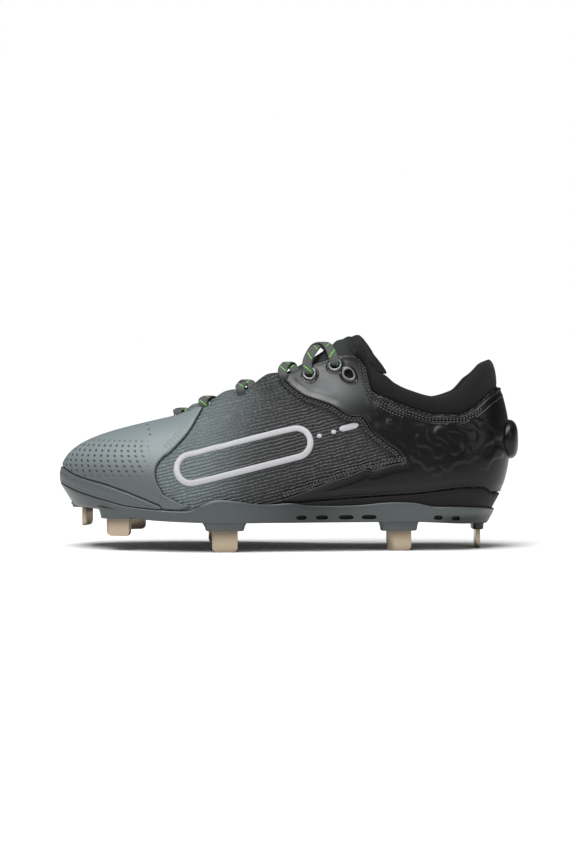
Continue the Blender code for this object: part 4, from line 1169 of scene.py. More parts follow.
def stitch(piece: Sculpt, line: Trace, offset: float, finish: Finish, pitch: float = 0.0021, lean: float = 0.0) -> None:
    """Sews a row of stitches along a line.

    Args:
        piece: Piece that gets them.
        line: Where they run.
        offset: Height of their middles over the upper.
        finish: The thread.
        pitch: From stitch to stitch.
        lean: Turn of each stitch over the surface, in radians.
    """
    spots, along, across, out = line.even(pitch, offset)
    turned = along * math.cos(lean) + across * math.sin(lean)
    aside = across * math.cos(lean) - along * math.sin(lean)
    piece.beads(spots, (turned, aside, out), (pitch * 0.46, 0.00056, 0.00048), finish)


def rolled(sculpt: Sculpt, seat: float, thickness: float, roll: float, relief: object = None) -> None:
    """Gives a shell its height: full inside, rolled down to the surface along its open edges.

    Args:
        sculpt: Piece whose points hold their places (u, v) in the mask-free flat layer's keys.
        seat: Height of its underside.
        thickness: Its thickness.
        roll: Width of the rolled edge.
        relief: Extra height as a function of points and distance to the edge.
    """
    keys = sculpt.mesh.verts.layers.float_vector["keys"]
    verts = sculpt.mesh.verts[:]
    place = np.array([tuple(vert[keys]) for vert in verts])
    edge_spots = []
    for edge in sculpt.mesh.edges:
        if edge.is_boundary:
            one, two = (np.array(v.co) for v in edge.verts)
            count = max(int(np.linalg.norm(two - one) / 0.00012), 1)
            edge_spots += [one + (two - one) * i / count for i in range(count + 1)]
    tree = KDTree(len(edge_spots))
    for number, spot in enumerate(edge_spots):
        tree.insert(spot, number)
    tree.balance()
    away = np.array([tree.find(vert.co)[2] for vert in verts])
    share = np.clip(away / roll, 0.0, 1.0)
    height = seat - 0.00035 + (thickness + 0.00035) * np.sqrt(1 - (1 - share) ** 2)
    points = LAST.skin(place[:, 0], place[:, 1], 0.0)
    if relief is not None:
        height = height + relief(points, away)
    points = points + LAST.normal(place[:, 0], place[:, 1]) * height[:, None]
    for vert, point in zip(verts, points):
        vert.co = point


def round_places(half: int) -> np.ndarray:
    """Places all round from the heel to the heel again, the same on both sides."""
    fine = np.linspace(0.0, 0.5, 1501)
    run = 0.6 * lengths(LAST.feather(fine)) + 0.4 * lengths(LAST.top(fine))
    places = np.interp(np.linspace(0.0, run[-1], half + 1), run, fine)
    return np.concatenate((places, 1 - places[-2::-1]))


def overlay_foot(u: np.ndarray) -> np.ndarray:
    """Share of the side curves where the overlays start, just above rim, lip or rand."""
    at = LAST.station(u)
    seat = np.maximum.reduce([SOLE("rim", at), SOLE("rim", at + 0.02), SOLE("lip", at), 0 * at])
    seat = np.where(at < RAND_TOP.stations[-1], np.maximum(seat, RAND_TOP("height", at)), seat)
    height = LAST.feather_height(at) + seat * SEAT_HEIGHT + 2 * CLEARANCE
    return np.maximum(0.012, LAST.up_share(u, height, OVERLAY_SEAT + OVERLAY_THICKNESS))


def eyelet_place(at: float | np.ndarray, side: Side, inset: float) -> tuple:
    """Places (u, v) at stations, an inset down from the throat's edge."""
    at = np.asarray(at, float)
    low, high = np.full(at.shape, 0.5), np.full(at.shape, 0.999)
    for _ in range(14):
        middle = (low + high) / 2
        u = LAST.place_at(at, middle, side)
        far = np.linalg.norm(LAST.skin(u, 1.0) - LAST.skin(u, middle), axis=-1) > inset
        low, high = np.where(far, middle, low), np.where(far, high, middle)
    return LAST.place_at(at, low, side), low


def tangents(u: float, v: float) -> tuple:
    """Unit directions on the form: along the shoe, and up square to it."""
    ahead = unit(LAST.bare(u + 0.002, v) - LAST.bare(u - 0.002, v))
    ahead = ahead if ahead[0] > 0 else -ahead
    rising = unit(np.cross(ahead, LAST.normal(u, v)))
    return ahead, rising if rising[2] > 0 else -rising


def ringed_places(side: Side) -> tuple:
    """Places of the ringed eyelets of one side: the front one, then the joined pair."""
    front = eyelet_place(EYELET_ROWS[-2], side, 0.0066)
    rear = eyelet_place(EYELET_ROWS[-1], side, 0.0056)
    ahead, rising = tangents(*rear)
    turn = math.radians(SPARE_EYELET_TURN)
    spare = LAST.shift(*rear, (ahead * math.cos(turn) + rising * math.sin(turn)) * SPARE_EYELET_PITCH)
    return front, rear, spare


def pierce(sculpt: Sculpt, radius: float) -> None:
    """Opens the round eyelet holes in a piece and draws their borders round.

    Args:
        sculpt: The piece.
        radius: Radius of the holes.
    """
    for side in Side:
        for u, v in ringed_places(side):
            centre, axis = Vector(LAST.skin(u, v)), Vector(LAST.normal(u, v))
            near = [vert for vert in sculpt.mesh.verts if (vert.co - centre).length < 4 * radius]
            reach = {vert: (vert.co - centre).cross(axis).length for vert in near}
            gone = [vert for vert in near if reach[vert] < radius]
            bmesh.ops.delete(sculpt.mesh, geom=gone, context="VERTS")
            for vert in near:
                if vert.is_valid and vert.is_boundary and reach[vert] < 2.4 * radius:
                    flat = vert.co - centre
                    level = axis * flat.dot(axis)
                    vert.co = centre + level + (flat - level).normalized() * radius


@dataclass
class Upper:
    """The hollow upper: textile outside, mesh lining inside, lobes along the throat."""

    half_around: int = 150
    rows: int = 60
    lining_rows: int = 30
    lobe: float = 0.0046

    def lobes(self, u: np.ndarray) -> np.ndarray:
        """Height of the throat edge's soft lobes, one at each front row of the lacing."""
        rows = EYELET_ROWS
        spots, levels = [(rows[0] + rows[1]) / 2], [0.0]
        for before, row, after in zip(rows, rows[1:4], rows[2:5]):
            spots += [row, (row + after) / 2]
            levels += [1.0, 0.0]
        x = (LAST.top(u)[..., 0] - TOE_X) / FOOT_LENGTH
        return self.lobe * np.sin(np.pi / 2 * np.interp(x, spots, levels, left=0.0, right=0.0))

    def tint(self, points: np.ndarray) -> np.ndarray:
        """Grey-green in front, turning near black towards the heel."""
        x, z = points[..., 0], points[..., 2]
        run = x - 0.20 * (z - 0.06)
        front, middle, rear = shade_of(140, 155, 157), shade_of(72, 78, 79), shade_of(27, 27, 27)
        first = ease(run, -0.058, -0.018)[..., None]
        second = ease(run, -0.034, 0.004)[..., None]
        return (front * (1 - first) + middle * first) * (1 - second) + rear * second

    def build(self) -> None:
        """Builds the upper from its lasting margin round the edge to the lining."""
        piece = Sculpt("upper_shell", "knit", ("upper",))
        u = round_places(self.half_around)[:, None]
        v = np.linspace(0.0, 1.0, self.rows)[None]
        skin = LAST.skin(u, v)
        rising = unit(LAST.skin(u, 1.0) - LAST.skin(u, 0.97))
        lift = self.lobes(u)[..., None] * unit(UP + 0.4 * rising)
        share = ease(v, 0.86, 1.0)[..., None]
        skin = skin + lift * share
        out = LAST.normal(u, 1.0)
        turn = np.linspace(0.0, np.pi, 7)[None, 1:-1, None]
        edge = LAST.skin(u, 1.0) + lift
        rim = edge - out * UPPER_WALL / 2 * (1 - np.cos(turn)) + rising * UPPER_WALL / 2 * np.sin(turn)
        margin = [LAST.under(u[:, 0], reach)[:, None] for reach in (LASTING_MARGIN, 0.004, 0.0012)]
        outer = np.concatenate([*margin, skin, rim], axis=1)
        piece.sheet(outer, TEXTILE, side_lengths(outer), self.tint(outer))
        down = np.linspace(1.0, 0.02, self.lining_rows)[None]
        lining = LAST.skin(u, down, -UPPER_WALL) + lift * ease(down, 0.86, 1.0)[..., None]
        floor = [LAST.under(u[:, 0], reach, UPPER_WALL)[:, None] for reach in (UPPER_WALL, 0.005, LASTING_MARGIN)]
        inner = np.concatenate([rim[:, -1:], lining, *floor, margin[0]], axis=1)
        piece.sheet(inner, LINING)
        piece.weld()
        pierce(piece, EYELET_HOLE / 2 + 0.0001)
        piece.finish()


@dataclass
class Shell:
    """A moulded sheet on the upper, laid out as grids of places (u, v)."""

    name: str
    slot: str
    finish: Finish
    seat: float = OVERLAY_SEAT
    thickness: float = OVERLAY_THICKNESS
    roll: float = 0.0010

    def build(
        self, grids: list, tint: object, relief: object = None, mask: object = None, node: str | None = None
    ) -> Sculpt:
        """Lays the grids and rolls their open edges down.

        Args:
            grids: Arrays of places, rows round the shoe and columns up it.
            tint: Colours as a function of points.
            relief: Extra height as a function of points and distance to the edge.
            mask: Where a pattern shows, as a function of points.
            node: The node it stands for, when not of its own name.

        Returns:
            The piece, still open to trims.
        """
        piece = Sculpt(self.name, self.slot, (node or self.name,))
        keys = piece.mesh.verts.layers.float_vector.new("keys")
        for grid in grids:
            u, v = grid[..., 0], grid[..., 1]
            points = LAST.skin(u, v)
            flat = side_lengths(points)
            around = lengths(LAST.feather(np.linspace(0, 1, 801)))
            flat[..., 0] = np.interp(np.mod(u, 1.0), np.linspace(0, 1, 801), around) * 800
            flat[..., 1] = points[..., 2] * 1000
            masked = None if mask is None else mask(points)
            verts = piece.sheet(points, self.finish, flat, tint(points), masked)
            for vert, key in zip(verts, grid.reshape(-1, 2)):
                vert[keys] = (key[0], key[1], 0.0)
        piece.weld(0.00001)
        rolled(piece, self.seat, self.thickness, self.roll, relief)
        return piece


@dataclass(frozen=True)
class Bubble:
    """One raised dumbbell of the heel's relief: two round ends and a slim waist, in the side view."""

    start: tuple
    end: tuple
    radius: float = 0.0043
    waist: float = 0.0017


BUBBLES = (
    Bubble((0.0735, 0.0800), (0.0835, 0.0760), 0.0036),
    Bubble((0.0840, 0.0690), (0.0935, 0.0625), 0.0046),
    Bubble((0.0955, 0.0735), (0.1045, 0.0640), 0.0040),
    Bubble((0.1030, 0.0775), (0.1140, 0.0715), 0.0042),
    Bubble((0.0790, 0.0590), (0.0870, 0.0545), 0.0036),
    Bubble((0.0990, 0.0540), (0.1110, 0.0590), 0.0040),
    Bubble((0.1170, 0.0620), (0.1245, 0.0700), 0.0040),
    Bubble((0.1225, 0.0550), (0.1310, 0.0610), 0.0038),
    Bubble((0.1260, 0.0800), (0.1320, 0.0735), 0.0036),
    Bubble((0.1150, 0.0830), (0.1200, 0.0790), 0.0030),
    Bubble((0.0920, 0.0530), (0.0930, 0.0500), 0.0028),
    Bubble((0.0650, 0.0800), (0.0665, 0.0815), 0.0032),
)


def bubbled(points: np.ndarray) -> np.ndarray:
    """How far inside the raised shapes of the heel points lie, from 0 to 1."""
    flat = points[..., [0, 2]]
    total = np.zeros(flat.shape[:-1])
    for bubble in BUBBLES:
        start, end = np.array(bubble.start), np.array(bubble.end)
        run = end - start
        share = np.clip((flat - start) @ run / (run @ run), 0.0, 1.0)
        away = np.linalg.norm(flat - start - share[..., None] * run, axis=-1)
        width = bubble.waist + (bubble.radius - bubble.waist) * np.abs(2 * share - 1) ** 2.2
        total = np.maximum(total, 1 - ease(away - width, -0.0005, 0.0006))
    return total


# The lines of the quarter's trim in the side view: (x, z) in metres.
EYESTAY_REAR = ((0.0445, 0.1170), (0.0470, 0.1050), (0.0520, 0.0945), (0.0600, 0.0885), (0.0720, 0.0835))
VENTS = ((-0.0887, 0.0772), (-0.0874, 0.0745), (-0.0862, 0.0715))


@dataclass
class Overlays:
    """Toe-box skin, moulded quarter, rand and heel pod, with their seams and stitches."""

    columns: int = 210
    rows: int = 52
    stitch_rows: tuple = (0.0018, 0.0032)

    def vamp(self) -> None:
        """Toe-box skin with slanted slits, a dark seam line at its rear edge and small vents."""
        shares = clustered(self.rows, 0.10)
        seams = LAST.place_at(VAMP_SEAM("at", shares), shares, Side.LATERAL)
        spread = clustered(self.columns, 0.34)
        u = seams[None] + (1 - 2 * seams[None]) * spread[:, None]
        foot = overlay_foot(u)
        grid = np.stack([u, foot + (0.995 - foot) * shares[None]], axis=-1)

        def tint(points: np.ndarray) -> np.ndarray:
            # The lower toe is tinted darker than its top: painted shade where the surface turns down away from the
            # light.
            low = ease(points[..., 2], 0.045, 0.062)[..., None]
            return shade_of(112, 120, 120) * (1 - low) + shade_of(148, 162, 164) * low

        def mask(points: np.ndarray) -> np.ndarray:
            x, z = points[..., 0], points[..., 2]
            return (1 - ease(x, -0.094, -0.084)) * (1 - ease(z, 0.064, 0.072)) * ease(z, 0.044, 0.049)

        piece = Shell("vamp_overlay", "toe_skin", TOE_SKIN).build([grid], tint, mask=mask)
        top = OVERLAY_SEAT + OVERLAY_THICKNESS
        for side in Side:
            edge = np.stack([seams, grid[0, :, 1]], axis=-1)[2:-1]
            keys = edge if side is Side.LATERAL else edge * (-1, 1) + (1, 0)
            line = Trace(keys)
            points = resample(line.points(OVERLAY_SEAT + 0.0003), 160)
            normals = unit(resample(line.normals(), 160))
            width = np.interp(np.linspace(0, 1, 160), (0, 0.4, 0.6, 1), (0.55, 0.6, 1.0, 1.0))
            piece.tube(points, normals, 0.0011, 0.0009, PIPING, radius=width)
            away = 1 if side is Side.LATERAL else -1
            upper_half = Trace(keys[len(keys) * 45 // 100 :])
            for gap in (0.0022, 0.0042, 0.0062):
                stitch(piece, upper_half.moved(away * gap), top, THREAD_GREY, 0.0026, 0.5 * away)
            spots = LAST.find(VENTS, side)
            out = LAST.normal(spots[:, 0], spots[:, 1])
            ahead = np.array([tangents(*spot)[0] for spot in spots])
            centres = LAST.skin(spots[:, 0], spots[:, 1], top - 0.0001)
            piece.beads(centres, (ahead, np.cross(out, ahead), out), (0.0011, 0.0008, 0.0002), HOLE)
        piece.finish()

    def quarter(self) -> None:
        """Glossy moulded quarter with the heel's relief, edge cord and double stitched bands."""
        fork = LAST.around(QUARTER_FORK, Side.LATERAL)
        front = LAST.around(QUARTER_ARMS.stations[0], Side.LATERAL)
        fine = np.linspace(0.0, front, 2000)
        run = lengths(LAST.feather(fine))
        split = np.interp(fork, fine, run)
        back = np.interp(np.linspace(0, split, 84), run, fine)
        ahead = np.interp(split + (run[-1] - split) * clustered(110, run[-1] - split, 0.001), run, fine)
        low_rows, high_rows = clustered(26, 0.035), clustered(34, 0.045)

        def patch(u: np.ndarray, first: np.ndarray, last: np.ndarray, shares: np.ndarray) -> np.ndarray:
            v = first[:, None] + (last - first)[:, None] * shares[None]
            return np.stack([np.broadcast_to(u[:, None], v.shape), v], axis=-1)

        meet = float(QUARTER_ARMS("lower", QUARTER_FORK))
        grids = []
        around = np.concatenate((-back[:0:-1], back))
        foot = overlay_foot(around)
        line = np.maximum(meet, foot + 0.010)
        grids += [patch(around, foot, line, low_rows), patch(around, line, np.full(len(around), 0.995), high_rows)]
        at = LAST.station(ahead)
        low_top = np.maximum(QUARTER_ARMS("lower", at), overlay_foot(ahead) + 0.010)
        high_low = QUARTER_ARMS("upper", at)
        high_low[0] = low_top[0] = line[-1]
        for sign in (1, -1):
            foot = overlay_foot(sign * ahead)
            pair = [
                patch(sign * ahead, foot, low_top, low_rows),
                patch(sign * ahead, high_low, np.full(len(ahead), 0.995), high_rows),
            ]
            grids += pair if sign > 0 else [grid[::-1] for grid in pair]

        def tint(points: np.ndarray) -> np.ndarray:
            # A lighter patch on the eyestay: painted sheen where the light catches the gloss.
            eyestay_sheen = np.exp(-(((points[..., 0] - 0.024) / 0.022) ** 2) - ((points[..., 2] - 0.102) / 0.012) ** 2)
            # Darker towards the heel: painted shade on the end that turns away from the light.
            heel = 1 - 0.7 * ease(points[..., 0], 0.085, 0.120)
            return shade_of(22, 22, 22) * ((1 - eyestay_sheen) * heel)[..., None] + shade_of(150, 152, 153) * eyestay_sheen[..., None]

        def relief(points: np.ndarray, away: np.ndarray) -> np.ndarray:
            band = (1 - ease(away, 0.0042, 0.0050)) * ease(away, 0.0010, 0.0016)
            return 0.00045 * bubbled(points) * ease(away, 0.003, 0.005) - 0.00025 * band

        piece = Shell("quarter_overlay", "overlay", MOULDED).build(grids, tint, relief)
        pierce(piece, EYELET_HOLE / 2 + 0.0002)
        top = OVERLAY_SEAT + OVERLAY_THICKNESS
        for side in Side:
            sign = 1 if side is Side.LATERAL else -1
            upper = np.stack([sign * ahead, high_low], axis=-1)[::-1]
            corner = np.stack([np.full(12, sign * ahead[-1]), np.linspace(0.985, high_low[-1], 12)], axis=-1)
            lower = np.stack([sign * ahead, low_top], axis=-1)[1:]
            edge = Trace(np.concatenate((corner[:-1], upper, lower)))
            count = 420
            keys = resample(edge.keys, 1200)
            line = Trace(keys)
            points = resample(line.points(OVERLAY_SEAT + 0.0006), count)
            piece.tube(points, unit(resample(line.normals(), count)), 0.0012, 0.0013, PIPING)
            for gap in self.stitch_rows:
                inside = Trace(resample(edge.keys, 500)).moved(-sign * gap)
                stitch(piece, inside, top - 0.0001, THREAD_DARK, 0.0022, 0.35 * sign)
            rear = Trace.drawn(EYESTAY_REAR, side)
            for gap, lean in ((0.0, 0.5), (0.0017, -0.5), (0.0034, 0.5)):
                stitch(piece, rear.moved(sign * gap), top, THREAD_DARK, 0.0021, lean)
            topline = LAST.around(0.745, side), 0.0
            places = np.linspace(topline[0], 0.0, 260)
            for drop, width in ((0.0016, 0.0007), (0.0058, 0.0006)):
                high = LAST.skin(places, 1.0)
                rise = np.linalg.norm(high - LAST.skin(places, 0.96), axis=-1)
                band = Trace(np.stack([places, 1 - 0.04 * drop / rise], axis=-1))
                piece.tube(resample(band.points(top), 260), unit(band.normals()), width, 0.0007, PIPING)
            for drop in (0.0028, 0.0045):
                rise = np.linalg.norm(LAST.skin(places, 1.0) - LAST.skin(places, 0.96), axis=-1)
                band = Trace(np.stack([places, 1 - 0.04 * drop / rise], axis=-1)[: 150])
                stitch(piece, band, top, THREAD_DARK, 0.0022, 0.4)
        piece.finish()

    def rand(self) -> None:
        """Rubber band round the toe."""
        first = LAST.around(RAND_TOP.stations[-1], Side.LATERAL)
        fine = np.linspace(first, 1 - first, 3000)
        run = lengths(LAST.feather(fine))
        u = np.interp(run[-1] * clustered(200, run[-1]), run, fine)
        base = LAST.feather_height(LAST.station(u))
        offset = CLEARANCE + RAND_THICKNESS
        foot = LAST.up_share(u, base + CLEARANCE, offset)
        top = LAST.up_share(u, base + RAND_TOP("height", LAST.station(u)) * SEAT_HEIGHT, offset)
        shares = clustered(14, 0.014, 0.0008)
        v = foot[:, None] + (top - foot)[:, None] * shares[None]
        grid = np.stack([np.broadcast_to(u[:, None], v.shape), v], axis=-1)

        def tint(points: np.ndarray) -> np.ndarray:
            return np.broadcast_to(shade_of(104, 112, 112), points.shape)

        def relief(points: np.ndarray, away: np.ndarray) -> np.ndarray:
            return -0.00035 * np.exp(-(((away - 0.0021) / 0.0004) ** 2))

        Shell("toe_rand", "rand", RUBBER, CLEARANCE, RAND_THICKNESS, 0.0008).build([grid], tint, relief).finish()

    def pod(self) -> None:
        """Moulded bump on the back of the heel."""
        seat = OVERLAY_SEAT + OVERLAY_THICKNESS + CLEARANCE
        middle = LAST.feather_height(1.0) + 0.385 * UPPER_RISE
        reach = 0.0
        while abs(LAST.bare(reach, 0.4)[1] - LAST.bare(0.0, 0.4)[1]) < POD_WIDTH / 2:
            reach += 0.0005
        across, rise = np.meshgrid(np.linspace(-1, 1, 41), np.linspace(-1, 1, 33), indexing="ij")
        u = reach * across * np.sqrt(1 - 0.5 * rise**2)
        z = middle + POD_HEIGHT / 2 * rise * np.sqrt(1 - 0.5 * across**2)
        v = LAST.up_share(u, z)
        dome = np.sqrt(np.clip((1 - across**4) * (1 - rise**4), 0.0, 1.0))
        points = LAST.bare(u, v) + LAST.normal(u, v) * (seat - 0.0006 + (POD_DEPTH + 0.0016) * dome)[..., None]
        piece = Sculpt("heel_pod", "overlay", ("heel_pod",))
        piece.sheet(points, MOULDED, tint=shade_of(15, 15, 15))
        piece.finish()

    def build(self) -> None:
        """Builds the four of them."""
        self.vamp()
        self.quarter()
        self.rand()
        self.pod()


def smooth_ring(points: np.ndarray, count: int) -> np.ndarray:
    """Closed curve through a ring of points, evenly spaced, its last point on its first.

    Args:
        points: Rings (rows, points, 3).
        count: Spans of the new rings.

    Returns:
        Rings (rows, count + 1, 3).
    """
    before, after, beyond = (np.roll(points, step, axis=1) for step in (1, -1, -2))
    share = np.arange(8)[None, None, :, None] / 8
    p0, p1, p2, p3 = (array[:, :, None] for array in (before, points, after, beyond))
    curve = 0.5 * (
        2 * p1
        + (p2 - p0) * share
        + (2 * p0 - 5 * p1 + 4 * p2 - p3) * share**2
        + (3 * p1 - p0 - 3 * p2 + p3) * share**3
    )
    curve = curve.reshape(len(points), -1, 3)
    curve = np.concatenate((curve, curve[:, :1]), axis=1)
    return np.stack([resample(ring, count + 1) for ring in curve])


def capped(rings: np.ndarray, steps: tuple = (0.97, 0.85, 0.6, 0.25, 0.002)) -> np.ndarray:
    """Rings with both ends drawn together into round caps."""
    first, last = rings[0].mean(axis=0), rings[-1].mean(axis=0)
    lead, tail = unit(rings[0] - rings[1]).mean(axis=0), unit(rings[-1] - rings[-2]).mean(axis=0)
    size = np.linalg.norm(rings[0] - first, axis=1).mean() * 0.5
    bulge = [size * math.sqrt(1 - step**2) for step in steps]
    start = [first + (rings[0] - first) * s + lead * b for s, b in zip(steps, bulge)][::-1]
    end = [last + (rings[-1] - last) * s + tail * b for s, b in zip(steps, bulge)]
    return np.concatenate((np.array(start), rings, np.array(end)))


# The collar's low front, from the tongue back: height over the upper's edge and thickness, in metres.
COLLAR_WING = Table(
    ("at", "high", "thick"),
    (
        (0.672, 0.0075, 0.0030),
        (0.690, 0.0120, 0.0034),
        (0.710, 0.0150, 0.0040),
        (0.735, 0.0150, 0.0052),
        (0.760, 0.0126, 0.0064),
        (0.790, 0.0119, 0.0085),
    ),
)


@dataclass
class Padding:
    """The padded collar, the tongue and the insole."""

    sections: int = 170
    around: int = 40

    def collar(self) -> None:
        """Soft collar: tucked in behind the upper's edge, rolled above it, with a fold at the heel."""
        first = LAST.around(0.676, Side.LATERAL)
        fine = np.linspace(-first, first, 3000)
        run = lengths(LAST.top(fine))
        u = np.interp(np.linspace(0, run[-1], self.sections), run, fine)
        at = LAST.station(u)
        edge, lower, out = LAST.skin(u, 1.0), LAST.skin(u, 0.96), LAST.normal(u, 1.0)
        rising = unit(edge - lower)
        over = unit(rising + UP)
        front = (at < 0.79)[:, None]
        thick = np.where(front, COLLAR_WING("thick", at)[:, None], (COLLAR("thick", at) * COLLAR_THICKNESS)[:, None])
        high = np.where(front, COLLAR_WING("high", at)[:, None], (COLLAR("height", at) * COLLAR_HEIGHT)[:, None])
        behind = UPPER_WALL + CLEARANCE
        tuck = 1 - 0.04 * COLLAR_TUCK / np.linalg.norm(edge - lower, axis=-1)
        crease = np.exp(-(((edge[:, 0:1] - 0.128) / 0.006) ** 2)) * 0.0010
        section = [
            LAST.skin(u, tuck, -behind - 5 * CLEARANCE),
            LAST.skin(u, (1 + tuck) / 2, -behind - 5 * CLEARANCE),
            edge - out * (behind + 2.5 * CLEARANCE) + rising * 0.0006,
            edge - out * 0.0003 + rising * 0.0009,
            edge + over * high * 0.50 + out * (0.0008 - crease),
            edge + over * high * 0.86 - out * 0.0006,
            edge + over * high - out * thick * 0.36,
            edge + over * high * 0.88 - out * thick * 0.82,
            edge + over * high * 0.45 - out * thick * 1.10,
            edge - over * high * 0.10 - out * thick * 1.02,
            LAST.skin(u, tuck + 0.01, (-behind - (thick[:, 0] - behind) * 0.50)),
        ]
        rings = capped(smooth_ring(np.stack(section, axis=1), self.around))
        piece = Sculpt("collar", "pad", ("collar",))
        piece.sheet(rings, FLEECE, arc_lengths(rings))
        piece.weld(0.000008)
        bmesh.ops.recalc_face_normals(piece.mesh, faces=piece.mesh.faces[:])
        piece.finish(pad=0.8, sharp=80)

    def rim(self) -> Table:
        """The tongue's two edges: tucked just inside the upper, then free above the collar."""
        at = np.linspace(TONGUE_START, TONGUE_FREE, 13)
        columns = [at]
        for side in Side:
            for inset in (TONGUE_TUCK, 0.0004):
                u, v = eyelet_place(at, side, inset)
                points = LAST.skin(u, v, -UPPER_WALL - 4 * CLEARANCE)
                columns += [points[:, 1], points[:, 2]]
        rows = np.stack(columns, axis=1)
        last = rows[-1] + np.array([TONGUE_CORNER - at[-1]] + [0.0, -TONGUE_DROOP] * 4)
        names = ("at", "l_y", "l_z", "l_lip_y", "l_lip_z", "m_y", "m_z", "m_lip_y", "m_lip_z")
        return Table(names, tuple(map(tuple, np.concatenate((rows, last[None])))))

    def tongue_points(self, share: np.ndarray, across: np.ndarray, rim: Table) -> np.ndarray:
        """Points of the tongue's outer face: share along it and -1 to 1 across."""
        end = TONGUE_TOP_MIDDLE + (TONGUE_CORNER - TONGUE_TOP_MIDDLE) * across**2
        at = TONGUE_START + (end - TONGUE_START) * share
        lateral = across < 0
        lip_y = np.where(lateral, rim("l_lip_y", at), rim("m_lip_y", at))
        lip_z = np.where(lateral, rim("l_lip_z", at), rim("m_lip_z", at))
        tuck_y = np.where(lateral, rim("l_y", at), rim("m_y", at))
        tuck_z = np.where(lateral, rim("l_z", at), rim("m_z", at))
        middle = (rim("l_lip_y", at) + rim("m_lip_y", at)) / 2
        reach = np.abs(across)
        out = np.minimum(reach / TONGUE_LIP, 1.0)
        crown = TONGUE("crown", at) * (SEAT_HEIGHT + UPPER_RISE) - 0.0018 * (1 - ease(at, 0.50, 0.60))
        y = middle + (lip_y - middle) * out
        z = lip_z + (crown - lip_z) * (1 - out**2.1)
        beyond = np.clip((reach - TONGUE_LIP) / (1 - TONGUE_LIP), 0.0, 1.0)
        y, z = y + (tuck_y - y) * beyond, z + (tuck_z - z) * beyond
        return np.stack([LAST.along(at), y, z], axis=-1)

    def tongue(self) -> None:
        """Arched tongue: knit in front, a soft black pad with folds at its top."""
        rim = self.rim()
        share, across = np.meshgrid(np.linspace(0, 1, 130), np.linspace(-1, 1, 49), indexing="ij")
        outer = self.tongue_points(share, across, rim)
        ahead = np.gradient(outer, axis=0)
        aside = np.gradient(outer, axis=1)
        normal = unit(np.cross(aside, ahead))
        normal = np.where(normal[..., 2:] < 0, -normal, normal)
        thick = TONGUE_THICKNESS * (1 - 0.6 * np.abs(across) ** 4)
        inner = outer - normal * thick[..., None]
        pad = ease(share, 0.80, 0.88) * (1 - ease(np.abs(across), 0.70, 0.98))
        folds = np.zeros(share.shape)
        for place, slant, half, height in ((0.86, 0.05, 0.016, -1.5), (0.915, -0.04, 0.020, -1.2), (0.965, 0.03, 0.014, -1.0)):
            folds += height * np.exp(-(((share - place - slant * across - 0.02 * np.sin(3 * across)) / half) ** 2))
        outer = outer + normal * ((0.0012 + 0.0008 * folds) * pad)[..., None]
        rings = np.concatenate([outer, inner[:, ::-1]], axis=1)
        rings = np.concatenate([rings, rings[:, :1]], axis=1)
        rings = capped(rings)
        x = rings[..., 0]
        black = ease(x, 0.030, 0.042)[..., None]
        tint = shade_of(70, 76, 77) * (1 - black) + shade_of(36, 37, 38) * black
        piece = Sculpt("tongue", "tongue_cloth", ("tongue",))
        piece.sheet(rings, TONGUE_CLOTH, arc_lengths(rings), tint)
        piece.weld(0.000008)
        bmesh.ops.recalc_face_normals(piece.mesh, faces=piece.mesh.faces[:])
        piece.finish(pad=0.6, sharp=80)

    def insole(self) -> None:
        """Sock liner on the lasting margin."""
        u = round_places(90)
        seat = UPPER_WALL + CLEARANCE
        rings = [
            LAST.under(u, seat + 0.0004, seat),
            LAST.under(u, seat + 0.0004, seat + INSOLE_THICKNESS * 0.75),
            LAST.under(u, seat + 0.0012, seat + INSOLE_THICKNESS * 0.97),
            LAST.under(u, seat + 0.0022, seat + INSOLE_THICKNESS),
        ]
        piece = Sculpt("insole", "liner", ("insole",))
        stacked(piece, rings, LINER)
        piece.finish(sharp=80)

    def build(self) -> None:
        """Builds the three of them."""
        self.collar()
        self.tongue()
        self.insole()


def stacked(piece: Sculpt, rings: list, finish: Finish, tint: np.ndarray | None = None) -> None:
    """Adds a solid of closed rings round the shoe, capped by strips from side to side.

    Args:
        piece: Piece that gets it.
        rings: Rings from the first cap to the last, over round_places.
        finish: Its finish.
        tint: Its colour.
    """
    points = np.stack(rings, axis=1)
    piece.sheet(points, finish, tint=tint, flat=side_lengths(points))
    half = (len(points) - 1) // 2
    across = np.linspace(0, 1, 13)[None, :, None]
    for ring in (points[:, 0], points[:, -1]):
        near, far = ring[: half + 1, None], ring[: half - 1 if half < 1 else None : -1][: half + 1, None]
        cap = near * (1 - across) + far * across
        piece.sheet(cap, finish, tint=tint, flat=side_lengths(cap))
    piece.weld(0.00001)
    bmesh.ops.recalc_face_normals(piece.mesh, faces=piece.mesh.faces[:])


def foam_out(at: np.ndarray) -> np.ndarray:
    """How far the midsole's side stands outside the upper: nothing under the forefoot."""
    return FOAM_EDGE * ease(at, 0.47, 0.53)


def carve(piece: bpy.types.Object, tool: bpy.types.Object, kind: str) -> None:
    """Joins a tool to a piece or cuts it out, and removes the tool."""
    modifier = piece.modifiers.new(kind.title(), "BOOLEAN")
    modifier.operation, modifier.solver, modifier.object = kind, "EXACT", tool
    modifier.material_mode = "TRANSFER"
    mesh = bpy.data.meshes.new_from_object(piece.evaluated_get(bpy.context.evaluated_depsgraph_get()))
    piece.modifiers.clear()
    piece.data = mesh
    bpy.data.objects.remove(tool)


